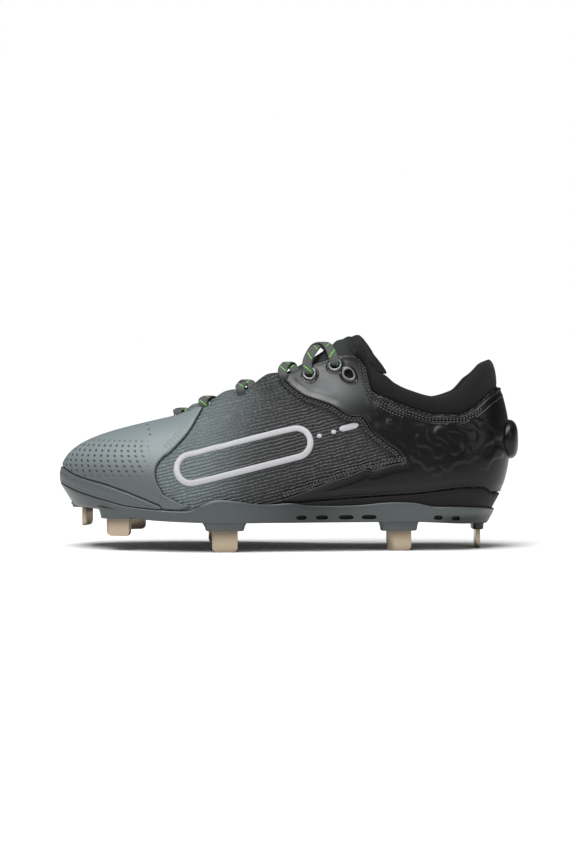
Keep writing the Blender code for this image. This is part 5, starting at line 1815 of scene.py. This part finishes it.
@dataclass(frozen=True)
class Blade:
    """One blade of the sole, as in its table's row."""

    name: str
    at: float
    across: float
    heading: float
    foot: float
    boss_foot: float
    length: float
    depth: float
    wing: float
    bend: float

    def middle(self) -> np.ndarray:
        """Point on the floor under it."""
        return np.array((float(LAST.along(self.at)), self.across * BALL_WIDTH, 0.0))

    def directions(self) -> tuple:
        """Plan directions of its flat and of its short wing."""
        angle, turned = math.radians(self.heading), math.radians(self.heading + self.bend)
        return tuple(np.array((math.cos(a), math.sin(a), 0.0)) for a in (angle, turned))

    def plate(self, width: float, thickness: float, corner: float, low: float, high: float) -> np.ndarray:
        """Sections of an upright plate on its plan line, the lower corners rounded."""
        flat, turned = self.directions()
        fold = self.middle() + flat * BLADE_WIDTH * (self.wing - 0.5)
        extra = (width - BLADE_WIDTH) / 2
        behind = self.wing * BLADE_WIDTH + (extra if self.wing else 0.0)
        ahead = (1 - self.wing) * BLADE_WIDTH + (extra if self.wing else 2 * extra)
        start = fold - flat * (0.0 if self.wing else extra)
        rounding = [corner * (1 - math.cos(math.radians(a))) for a in (0, 22, 45, 68, 90)] if corner else [0.0]
        spots = [-behind + r for r in rounding] + [-0.0012, 0.0, 0.0012] if self.wing else list(rounding)
        spots += [ahead - r for r in rounding[::-1]]
        sections = []
        for spot in spots:
            direction = turned if spot < 0 else flat
            point = (fold if self.wing else start) + direction * spot
            bisector = turned + flat if spot == 0.0 and self.wing else direction
            side = unit(np.cross(UP, bisector)) * thickness / 2
            gap = min(spot - spots[0], spots[-1] - spot, corner)
            rise = corner - math.sqrt(max(corner**2 - (corner - gap) ** 2, 0.0))
            base = point + UP * (low + rise)
            sections.append([base + side, base - side, point - side + UP * high, point + side + UP * high])
        return np.array(sections)

    def boss(self, half_turns: int = 40) -> np.ndarray:
        """Rings of its boss, flared where it leaves the plate."""
        flat, _ = self.directions()
        side = np.cross(UP, flat)
        turn = np.linspace(0, 2 * np.pi, half_turns + 1)
        ca, sa = np.cos(turn), np.sin(turn)
        x0 = np.sign(ca) * np.abs(ca) ** 0.6 * self.length * BLADE_WIDTH / 2
        y0 = np.sign(sa) * np.abs(sa) ** 0.6 * self.depth * BLADE_WIDTH / 2
        rings = []
        grow = 0.42 if self.boss_foot < 0.5 else 0.22
        for level in (0.0, 0.04, 0.12, 0.35, 0.55, 0.7, 0.82, 0.92, 1.0):
            edge = 0.93 if level == 0.0 else 0.98 if level < 0.1 else 1.0
            along, deep = edge * (1 + grow * level**2.2), edge * (1 + 0.16 * level)
            points = self.middle() + flat * (x0 * along)[:, None] + side * (y0 * deep)[:, None]
            at = (points[:, 0] - TOE_X) / FOOT_LENGTH
            top = SOLE("bottom", at) * SEAT_HEIGHT + SOLE("skirt", at) * MIDSOLE_HEEL + 0.0014
            low = self.boss_foot * SEAT_HEIGHT
            points[:, 2] = low + (top - low) * level
            rings.append(points)
        return np.array(rings)


STUDS = tuple(Blade(*row) for row in BLADES)


def closed(name: str, blocks: list, finish: Finish) -> bpy.types.Object:
    """Object of several swept blocks, each capped at its ends."""
    piece = Sculpt(name, "plate")
    for rings in blocks:
        ring = rings if np.allclose(rings[:, 0], rings[:, -1]) else np.concatenate((rings, rings[:, :1]), axis=1)
        before = set(piece.mesh.faces)
        verts = piece.sheet(ring, finish)
        bmesh.ops.remove_doubles(piece.mesh, verts=verts, dist=0.000005)
        fresh = [face for face in piece.mesh.faces if face not in before]
        border = list({edge for face in fresh for edge in face.edges if edge.is_boundary})
        bmesh.ops.holes_fill(piece.mesh, edges=border, sides=0)
    bmesh.ops.recalc_face_normals(piece.mesh, faces=piece.mesh.faces[:])
    data = bpy.data.meshes.new(name)
    piece.mesh.to_mesh(data)
    piece.mesh.free()
    made = bpy.data.objects.new(name, data)
    bpy.context.scene.collection.objects.link(made)
    data.materials.append(PAINT(finish))
    return made


@dataclass
class Sole:
    """Plate with its bosses and slots, foam midsole and steel blades."""

    half_around: int = 130

    def plate(self) -> None:
        """Cupped plate, hollow below, with flared bosses, blade pockets and side slots."""
        u = round_places(self.half_around)
        at = LAST.station(u)
        base = LAST.feather_height(at)
        inner = foam_out(at) + CLEARANCE
        floor = base - SOLE("foam", at) * MIDSOLE_HEEL - CLEARANCE
        rim = base + SOLE("rim", at) * SEAT_HEIGHT
        bottom = SOLE("bottom", at) * SEAT_HEIGHT
        skirt = SOLE("skirt", at) * MIDSOLE_HEEL
        full = inner + CUP_WALL
        side = [(rim - 0.0022 + (bottom + 0.0016 - rim + 0.0022) * s, full) for s in (0, 0.2, 0.4, 0.6, 0.8, 1)]
        profile = [
            (floor, inner),
            (rim - 0.0002, inner),
            (rim, inner + 0.0003),
            (rim, inner + RIM_EDGE),
            (rim - 0.0006, full - 0.0003),
            *side,
            (bottom + 0.0007, full - 0.0002),
            (bottom + 0.0002, full - 0.0007),
            (bottom, full - 0.0016),
            (bottom, full - SKIRT_WIDTH + 0.0006),
            (bottom + 0.0006, full - SKIRT_WIDTH),
            (bottom + skirt, full - SKIRT_WIDTH - 0.0014 - 0.3 * skirt),
        ]
        piece = Sculpt("outsole", "plate", ("outsole",))
        stacked(piece, [LAST.wall(u, height, offset) for height, offset in profile], PLATE)
        data = bpy.data.meshes.new("outsole")
        piece.mesh.to_mesh(data)
        piece.mesh.free()
        plate = bpy.data.objects.new("outsole", data)
        bpy.context.scene.collection.objects.link(plate)
        data.materials.append(PAINT(PLATE))
        carve(plate, closed("bosses", [stud.boss() for stud in STUDS], PLATE), "UNION")
        cuts = [self.slot(mid, length, side) for mid, length in SIDE_SLOTS for side in Side]
        carve(plate, closed("slots", cuts, SLOT), "DIFFERENCE")
        pockets = []
        for stud in STUDS:
            foot = stud.boss_foot * SEAT_HEIGHT
            wide, thick = BLADE_WIDTH + 2 * CLEARANCE, BLADE_THICKNESS + 2 * CLEARANCE
            pockets.append(stud.plate(wide, thick, 0.0, foot - 0.002, foot + BLADE_ROOT + CLEARANCE))
        carve(plate, closed("pockets", pockets, SLOT), "DIFFERENCE")
        dye(plate, self.tint)
        declare(plate, ("outsole",), sharp=38)

    def tint(self, points: np.ndarray) -> np.ndarray:
        """Grey-green plate: darker at the middle, with painted shade under the heel, lighter at its rear clip."""
        x, z = points[:, 0], points[:, 2]
        middle = np.exp(-(((x - 0.012) / 0.030) ** 2))[:, None]
        clip = ease(x, 0.1215, 0.1222)[:, None]
        # Painted shade on the low rear of the plate, where its underside curves away from the light.
        under = (1 - ease(z, 0.0200, 0.0235))[:, None] * ease(x, 0.085, 0.105)[:, None]
        colour = shade_of(100, 107, 107) * (1 - 0.55 * middle)
        colour = colour * (1 - clip) + shade_of(112, 118, 117) * clip
        return colour * (1 - 0.8 * under)

    @staticmethod
    def slot(mid: float, length: float, side: Side) -> np.ndarray:
        """Sections of the tool that cuts one round-ended slot in the plate's side."""
        u = LAST.around(mid, side)
        bottom = float(SOLE("bottom", mid)) * SEAT_HEIGHT + 0.0016
        centre = LAST.wall(u, bottom + SIDE_SLOT_HEIGHT / 2, foam_out(mid) + CLEARANCE + CUP_WALL)
        out = LAST.outward(u)
        run = np.cross(UP, out) * length * FOOT_LENGTH / 2
        turn = np.linspace(0, 2 * np.pi, 17)
        across = np.sign(np.cos(turn)) * np.abs(np.cos(turn)) ** 0.6
        rise = np.sin(turn) * np.where(np.sin(turn) > 0, 1.0, 0.75)
        ring = run * across[:, None] + UP * (rise * SIDE_SLOT_HEIGHT / 2)[:, None]
        return np.stack([centre + ring + out * reach for reach in (0.004, -SIDE_SLOT_DEPTH)])

    def midsole(self) -> None:
        """Foam wedge: its lip cups the heel and its middle fills the upper's open underside."""
        u = round_places(self.half_around)
        at, base = LAST.station(u), LAST.feather(u)
        out = foam_out(at)
        lip = base[:, 2] + SOLE("lip", at) * SEAT_HEIGHT
        low = base[:, 2] - SOLE("foam", at) * MIDSOLE_HEEL
        fill = LASTING_MARGIN + 2 * CLEARANCE
        inner = np.minimum(CLEARANCE, out - 0.0008)
        rings = [LAST.wall(u, low, out)]
        rings += [LAST.wall(u, low + (lip - 0.0005 - low) * share, out) for share in (0.25, 0.5, 0.75, 1.0)]
        rings += [LAST.wall(u, lip, (out + inner) / 2 + 0.0002), LAST.wall(u, lip - 0.0001, inner)]
        reach = -np.minimum(CLEARANCE, out - 0.0010)
        rings += [LAST.under(u, reach[:, None], -CLEARANCE), LAST.under(u, fill, -CLEARANCE)]
        rings += [LAST.under(u, fill + CLEARANCE, UPPER_WALL)]
        piece = Sculpt("midsole", "foam", ("midsole",))
        stacked(piece, rings, FOAM)
        piece.finish(sharp=60)

    def blades(self) -> None:
        """Pressed steel blades with softened edges, each root in its boss."""
        for stud in STUDS:
            low, high = stud.foot * SEAT_HEIGHT, stud.boss_foot * SEAT_HEIGHT + BLADE_ROOT
            name = f"blade_{stud.name}"
            blade = closed(name, [stud.plate(BLADE_WIDTH, BLADE_THICKNESS, BLADE_CORNER, low, high)], STEEL)
            mesh = bmesh.new()
            mesh.from_mesh(blade.data)
            edges = [e for e in mesh.edges if len(e.link_faces) == 2 and e.calc_face_angle(0.0) > 0.9]
            bmesh.ops.bevel(mesh, geom=edges, offset=0.00035, segments=2, profile=0.5, affect="EDGES", material=-1)
            mesh.to_mesh(blade.data)
            mesh.free()
            declare(blade, (name,), sharp=40)

    def build(self) -> None:
        """Builds plate, midsole and blades."""
        self.plate()
        self.midsole()
        self.blades()


def dye(piece: bpy.types.Object, colours: object) -> None:
    """Writes a piece's tint from a function of its points."""
    mesh = piece.data
    points = np.empty(len(mesh.vertices) * 3)
    mesh.vertices.foreach_get("co", points)
    tint = np.ones((len(mesh.vertices), 4))
    tint[:, :3] = colours(points.reshape(-1, 3))
    layer = mesh.attributes.get("tint") or mesh.attributes.new("tint", "FLOAT_COLOR", "POINT")
    layer.data.foreach_set("color", tint.ravel())


@dataclass
class Lacing:
    """Eyelet grommets and the two lace strands that run through them."""

    lip: float = 0.0011
    patch: float = 0.00032
    strands: tuple = (Side.LATERAL, Side.MEDIAL)

    def grommet(self, name: str, side: Side, places: tuple) -> None:
        """Raised lips round one or two holes, with a dark groove round the whole."""
        centres = np.array([LAST.skin(*place) for place in places])
        u, v = (float(np.mean([place[i] for place in places])) for i in (0, 1))
        middle, normal = LAST.skin(u, v), LAST.normal(u, v)
        ahead, rising = tangents(u, v)
        spots = np.stack([(centres - middle) @ ahead, (centres - middle) @ rising], axis=-1)
        reach = np.abs(spots).max(axis=0) + 0.0068
        xs = np.arange(-reach[0], reach[0], self.patch)
        ys = np.arange(-reach[1], reach[1], self.patch)
        x, y = np.meshgrid(xs, ys, indexing="ij")
        flat = x[..., None] * ahead + y[..., None] * rising
        gaps = np.stack([np.hypot(x - spot[0], y - spot[1]) for spot in spots])
        near = gaps.min(axis=0)
        soft = -0.0009 * np.log(np.exp(-gaps / 0.0009).sum(axis=0))
        seat = OVERLAY_SEAT + OVERLAY_THICKNESS
        lip = ease(near, 0.0026, 0.0031) * (1 - ease(soft, 0.0040, 0.0045)) * self.lip
        skirt = 0.0006 * (1 - ease(soft, 0.0056, 0.0061)) - 0.0012 * ease(soft, 0.0058, 0.0063)
        groove = 0.00050 * np.exp(-(((soft - 0.0049) / 0.00045) ** 2))
        places_u, places_v = LAST.shift(u, v, flat)
        points = LAST.skin(places_u, np.minimum(places_v, 0.9995), seat + lip + skirt - groove)
        # The raised lips are tinted far lighter than the patch: a painted highlight on them.
        dark, lip_highlight = shade_of(12, 12, 13), shade_of(150, 152, 154)
        share = (ease(near, 0.0028, 0.0033) * (1 - ease(soft, 0.0037, 0.0042)))[..., None]
        tint = dark * (1 - share) + lip_highlight * share
        piece = Sculpt(name, "ring", (name,))
        verts = piece.sheet(points, RING_TINTED, tint=tint, flip=bool(np.dot(np.cross(rising, ahead), normal) < 0))
        hole = EYELET_HOLE / 2
        gone = [vert for vert, a, b in zip(verts, near.ravel(), soft.ravel()) if a < hole or b > 0.0064]
        bmesh.ops.delete(piece.mesh, geom=gone, context="VERTS")
        for centre in centres:
            axis = Vector(normal)
            centre = Vector(centre)
            for vert in piece.mesh.verts:
                across = vert.co - centre
                level = axis * across.dot(axis)
                if vert.is_boundary and (across - level).length < hole + 2.1 * self.patch:
                    vert.co = centre + level + (across - level).normalized() * hole
            turn = np.linspace(0, 2 * np.pi, 33)
            ring = (np.cos(turn)[:, None] * ahead + np.sin(turn)[:, None] * rising) * hole
            high = np.array(centre) + ring + normal * (seat + 0.0006)
            low = np.array(centre) + ring + normal * 0.0003
            shut = np.array(centre) + ring * 0.01 + normal * 0.0003
            piece.sheet(np.stack([high, low, shut]), HOLE, flip=bool(np.dot(np.cross(ahead, rising), normal) > 0))
        piece.finish(sharp=70)

    def strand(self, piece: Sculpt, start: Side, rim_lift: float) -> None:
        """One lace from the front row to the top: over the tongue, under the edge and up again.

        Args:
            piece: Piece that gets it.
            start: Side on which it starts.
            rim_lift: Extra height where it lies over the other strand.
        """
        rows = len(EYELET_ROWS)
        side = start
        spots: list = []
        widths: list = []
        padding = Padding()
        rim = padding.rim()

        def hole_place(row: int, step: float, which: Side) -> tuple:
            """Place of a lace hole: between two lobes in front, else in its ringed eyelet."""
            at, inset = EYELET_ROWS[row], 0.0056 if row == rows - 1 else 0.0066
            if row < rows - 2:
                at, inset = (EYELET_ROWS[row] + EYELET_ROWS[row + 1]) / 2 + step, 0.0030
            return tuple(float(x) for x in eyelet_place(at, which, inset))

        for row in range(rows - 1):
            other = Side.MEDIAL if side is Side.LATERAL else Side.LATERAL
            last = row == rows - 2
            u, v = hole_place(row, -0.008, side)
            raised = OVERLAY_SEAT + OVERLAY_THICKNESS + (0.0016 if row >= rows - 2 else 0.0006)
            _, rising = tangents(u, v)
            hole = LAST.skin(u, v)
            out = LAST.normal(u, v)
            spots += [hole - out * 0.0030, hole + out * 0.0002, hole + out * (raised + 0.0006) + rising * 0.0010]
            spots += [hole + out * (raised + 0.0012) + rising * 0.0034]
            widths += [0.74, 0.76, 0.86, 1.0]
            u2, v2 = hole_place(row + 1 if last else row, 0.014, other)
            end, end_out = LAST.skin(u2, v2), LAST.normal(u2, v2)
            _, end_rising = tangents(u2, v2)
            share = ((spots[-1][0] + end[0]) / 2 / FOOT_LENGTH - TOE_X / FOOT_LENGTH - TONGUE_START) / (
                TONGUE_TOP_MIDDLE - TONGUE_START
            )
            crown = padding.tongue_points(np.array(min(max(share, 0.0), 1.0)), np.array(0.0), rim)
            middle = (spots[-1] + end) / 2
            middle[1] = crown[1]
            middle[2] = crown[2] + CROSS_LIFTS[row] * LACE_THICKNESS + rim_lift
            first, spot = spots[-1], middle
            quarter = first + (spot - first) * 0.5 + UP * (spot[2] - first[2]) * 0.34
            spots += [quarter, middle]
            widths += [1.0, 1.0]
            if last:
                rest = end + end_out * 0.0040 + end_rising * 0.0034
                spots += [middle + (rest - middle) * 0.5 + UP * (middle[2] - rest[2]) * 0.34, rest]
                spots += [end + end_out * 0.0036 + end_rising * 0.0008, end, end - end_out * 0.0040]
                widths += [1.0, 1.0, 0.84, 0.76, 0.72]
            else:
                edge = LAST.skin(u2, 0.999)
                under = edge - end_out * (UPPER_WALL + 0.0006) + end_rising * 0.0012
                spots += [middle + (under - middle) * 0.5 + UP * (middle[2] - under[2]) * 0.30, under]
                spots += [end - end_out * (UPPER_WALL + 0.0014)]
                widths += [1.0, 0.95, 0.8]
            side = other
        control = np.array(spots)
        run = lengths(control)
        wanted = np.linspace(0, run[-1], 900)
        smooth = curve_through(control, wanted, run)
        ahead = unit(np.gradient(smooth, axis=0))
        normals = unit(np.cross(np.array((1.0, 0.0, 0.0)), ahead))
        size = np.interp(wanted, run, widths)
        piece.tube(smooth, normals, LACE_WIDTH, LACE_THICKNESS, LACE, 14, shade_of(96, 103, 97), 0.55, True, size)

    def build(self) -> None:
        """Builds the grommets and the lace."""
        for side in Side:
            word = side.name.lower()
            front, rear, spare = ringed_places(side)
            self.grommet(f"eyelet_{word}_front", side, (front,))
            self.grommet(f"eyelet_{word}_pair", side, (rear, spare))
        nodes = tuple(f"lace_cross_{row + 1}" for row in range(len(CROSS_LIFTS)))
        piece = Sculpt("lace", "lace", nodes)
        for number, side in enumerate(self.strands):
            self.strand(piece, side, 0.0016 * number)
        piece.finish(sharp=80)


def curve_through(control: np.ndarray, wanted: np.ndarray, run: np.ndarray) -> np.ndarray:
    """Smooth curve through control points, read at running lengths."""
    slopes = np.gradient(control, run, axis=0)
    index = np.clip(np.searchsorted(run, wanted, "right") - 1, 0, len(run) - 2)
    step = (run[index + 1] - run[index])[:, None]
    t = ((wanted - run[index]) / step[:, 0])[:, None]
    return (
        control[index] * (1 + 2 * t) * (1 - t) ** 2
        + slopes[index] * step * t * (1 - t) ** 2
        + control[index + 1] * t * t * (3 - 2 * t)
        + slopes[index + 1] * step * t * t * (t - 1)
    )


RING_TINTED = Finish("eyelet_lip", None, 0.22, coat=0.5)


@dataclass
class Ornament:
    """Plain embroidered ornament on both sides: a long oval outline, two dots and a bar."""

    start: tuple = (-0.0600, 0.0520)
    end: tuple = (0.0050, 0.0680)
    radius: float = 0.0090
    width: float = 0.0042
    height: float = 0.0008

    def build(self) -> None:
        """Sews it on each side."""
        for side in Side:
            piece = Sculpt(f"embroidery_{side.name.lower()}", "knit")
            start, end = np.array(self.start), np.array(self.end)
            along = unit(end - start)
            up = np.array((-along[1], along[0]))
            turn = np.linspace(np.pi / 2, 3 * np.pi / 2, 14)
            left = start + self.radius * (np.cos(turn)[:, None] * along + np.sin(turn)[:, None] * up)
            right = end - self.radius * (np.cos(turn)[:, None] * along + np.sin(turn)[:, None] * up)
            outline = np.concatenate((left, right, left[:1]))
            keys = LAST.find(resample(outline, 260), side)
            self.sew(piece, keys, self.width)
            self.sew(piece, LAST.find(resample(np.array(((0.0330, 0.0762), (0.0430, 0.0788))), 24), side), self.width)
            for spot in ((0.0195, 0.0720), (0.0285, 0.0745)):
                middle = np.array(spot)
                ends = np.stack((middle - 0.0006 * along, middle + 0.0006 * along))
                self.sew(piece, LAST.find(resample(ends, 9), side), 0.0040)
            piece.finish(sharp=80)

    def sew(self, piece: Sculpt, keys: np.ndarray, width: float) -> None:
        """Adds a domed satin band along places."""
        u, v = keys[:, 0], keys[:, 1]
        points, normals = LAST.skin(u, v), LAST.normal(u, v)
        aside = unit(np.cross(normals, unit(np.gradient(points, axis=0))))
        closes = np.allclose(points[0], points[-1], atol=1e-4)
        across = np.linspace(-1, 1, 11)
        run = lengths(points)
        gap = np.minimum(run, run[-1] - run)
        size = np.ones(len(points)) if closes else np.sqrt(np.clip(1 - np.clip(1 - gap / (width / 2), 0, 1) ** 2, 0.02, 1))
        move = aside[:, None] * (across[None, :, None] * width / 2) * size[:, None, None]
        if not closes:
            ahead = unit(np.gradient(points, axis=0))
            tips = np.where(run < run[-1] / 2, -1.0, 1.0) * np.clip(width / 2 - gap, 0, None)
            move = move + ahead[:, None] * (tips * 0.5)[:, None, None]
        us, vs = LAST.shift(u[:, None], v[:, None], move)
        dome = -0.0003 + (self.height + 0.0003) * np.sqrt(np.clip(1 - across**2, 0, 1)) ** 0.7
        surface = LAST.skin(us, vs, np.broadcast_to(dome[None], us.shape))
        flat = np.stack([np.broadcast_to(run[:, None] * 1000, us.shape), np.broadcast_to(across * 2, us.shape)], axis=-1)
        flip = bool(np.einsum("ij,ij->i", np.cross(aside, np.gradient(points, axis=0)), normals).mean() > 0)
        piece.sheet(surface, SATIN, flat, flip=not flip)


@dataclass
class Studio:
    """Pale floor, soft light and the photograph's point of view."""

    distance: float = 1.250
    eye_height: float = 0.100
    aim_height: float = 0.0738
    lens: float = 81.4

    def floor(self) -> None:
        """Wide pale floor."""
        mesh = bmesh.new()
        bmesh.ops.create_grid(mesh, x_segments=1, y_segments=1, size=12.0)
        data = bpy.data.meshes.new("floor")
        mesh.to_mesh(data)
        mesh.free()
        plane = bpy.data.objects.new("floor", data)
        bpy.context.scene.collection.objects.link(plane)
        data.materials.append(PAINT(Finish("floor_white", (0.90, 0.90, 0.90), 0.8)))
        plane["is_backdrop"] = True

    def lamp(self, name: str, place: tuple, size: float, power: float) -> None:
        """Area light that looks at the shoe."""
        light = bpy.data.lights.new(name, "AREA")
        light.shape, light.size, light.energy = "DISK", size, power
        lamp = bpy.data.objects.new(name, light)
        bpy.context.scene.collection.objects.link(lamp)
        lamp.location = place
        lamp.rotation_euler = (Vector((0.0, 0.0, 0.06)) - Vector(place)).to_track_quat("-Z", "Y").to_euler()

    def build(self) -> None:
        """Sets floor, world, lights and camera."""
        self.floor()
        world = bpy.data.worlds.new("studio")
        world.use_nodes = True
        tree = world.node_tree
        shade = tree.nodes["Background"]
        shade.inputs["Color"].default_value = (1.0, 1.0, 1.0, 1.0)
        path = tree.nodes.new("ShaderNodeLightPath")
        level = tree.nodes.new("ShaderNodeMapRange")
        level.inputs["To Min"].default_value, level.inputs["To Max"].default_value = 0.15, 1.0
        tree.links.new(path.outputs["Is Camera Ray"], level.inputs["Value"])
        tree.links.new(level.outputs["Result"], shade.inputs["Strength"])
        bpy.context.scene.world = world
        sun = bpy.data.lights.new("overhead", "SUN")
        sun.energy, sun.angle = 3.6, math.radians(42)
        overhead = bpy.data.objects.new("overhead", sun)
        bpy.context.scene.collection.objects.link(overhead)
        overhead.rotation_euler = (math.radians(12), math.radians(-8), 0.0)
        self.lamp("key", (-0.45, -0.90, 1.10), 0.5, 7.0)
        self.lamp("fill", (1.00, -0.90, 0.60), 0.6, 2.0)
        camera = bpy.data.cameras.new("camera")
        camera.lens, camera.sensor_width = self.lens, 36.0
        camera.sensor_fit = "AUTO"
        view = bpy.data.objects.new("camera", camera)
        bpy.context.scene.collection.objects.link(view)
        view.location = (0.0, -self.distance, self.eye_height)
        aim = Vector((0.0, 0.0, self.aim_height)) - view.location
        view.rotation_euler = aim.to_track_quat("-Z", "Y").to_euler()
        bpy.context.scene.camera = view
        bpy.context.scene.view_settings.view_transform = "Standard"


def main() -> None:
    """Builds every piece in order and takes the two measures of the whole."""
    logging.basicConfig(level=logging.INFO, format="%(message)s")
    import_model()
    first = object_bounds()
    Upper().build()
    Overlays().build()
    Ornament().build()
    Padding().build()
    Sole().build()
    Lacing().build()
    Studio().build()
    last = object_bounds()
    sizes = {"first": as_lists(first), "last": as_lists(last)}


def as_lists(value: object) -> object:
    """Bounds as plain lists of numbers."""
    if isinstance(value, (int, float)):
        return float(value)
    if isinstance(value, dict):
        return {key: as_lists(item) for key, item in value.items()}
    return [as_lists(item) for item in value]


if __name__ == "__main__":
    main()
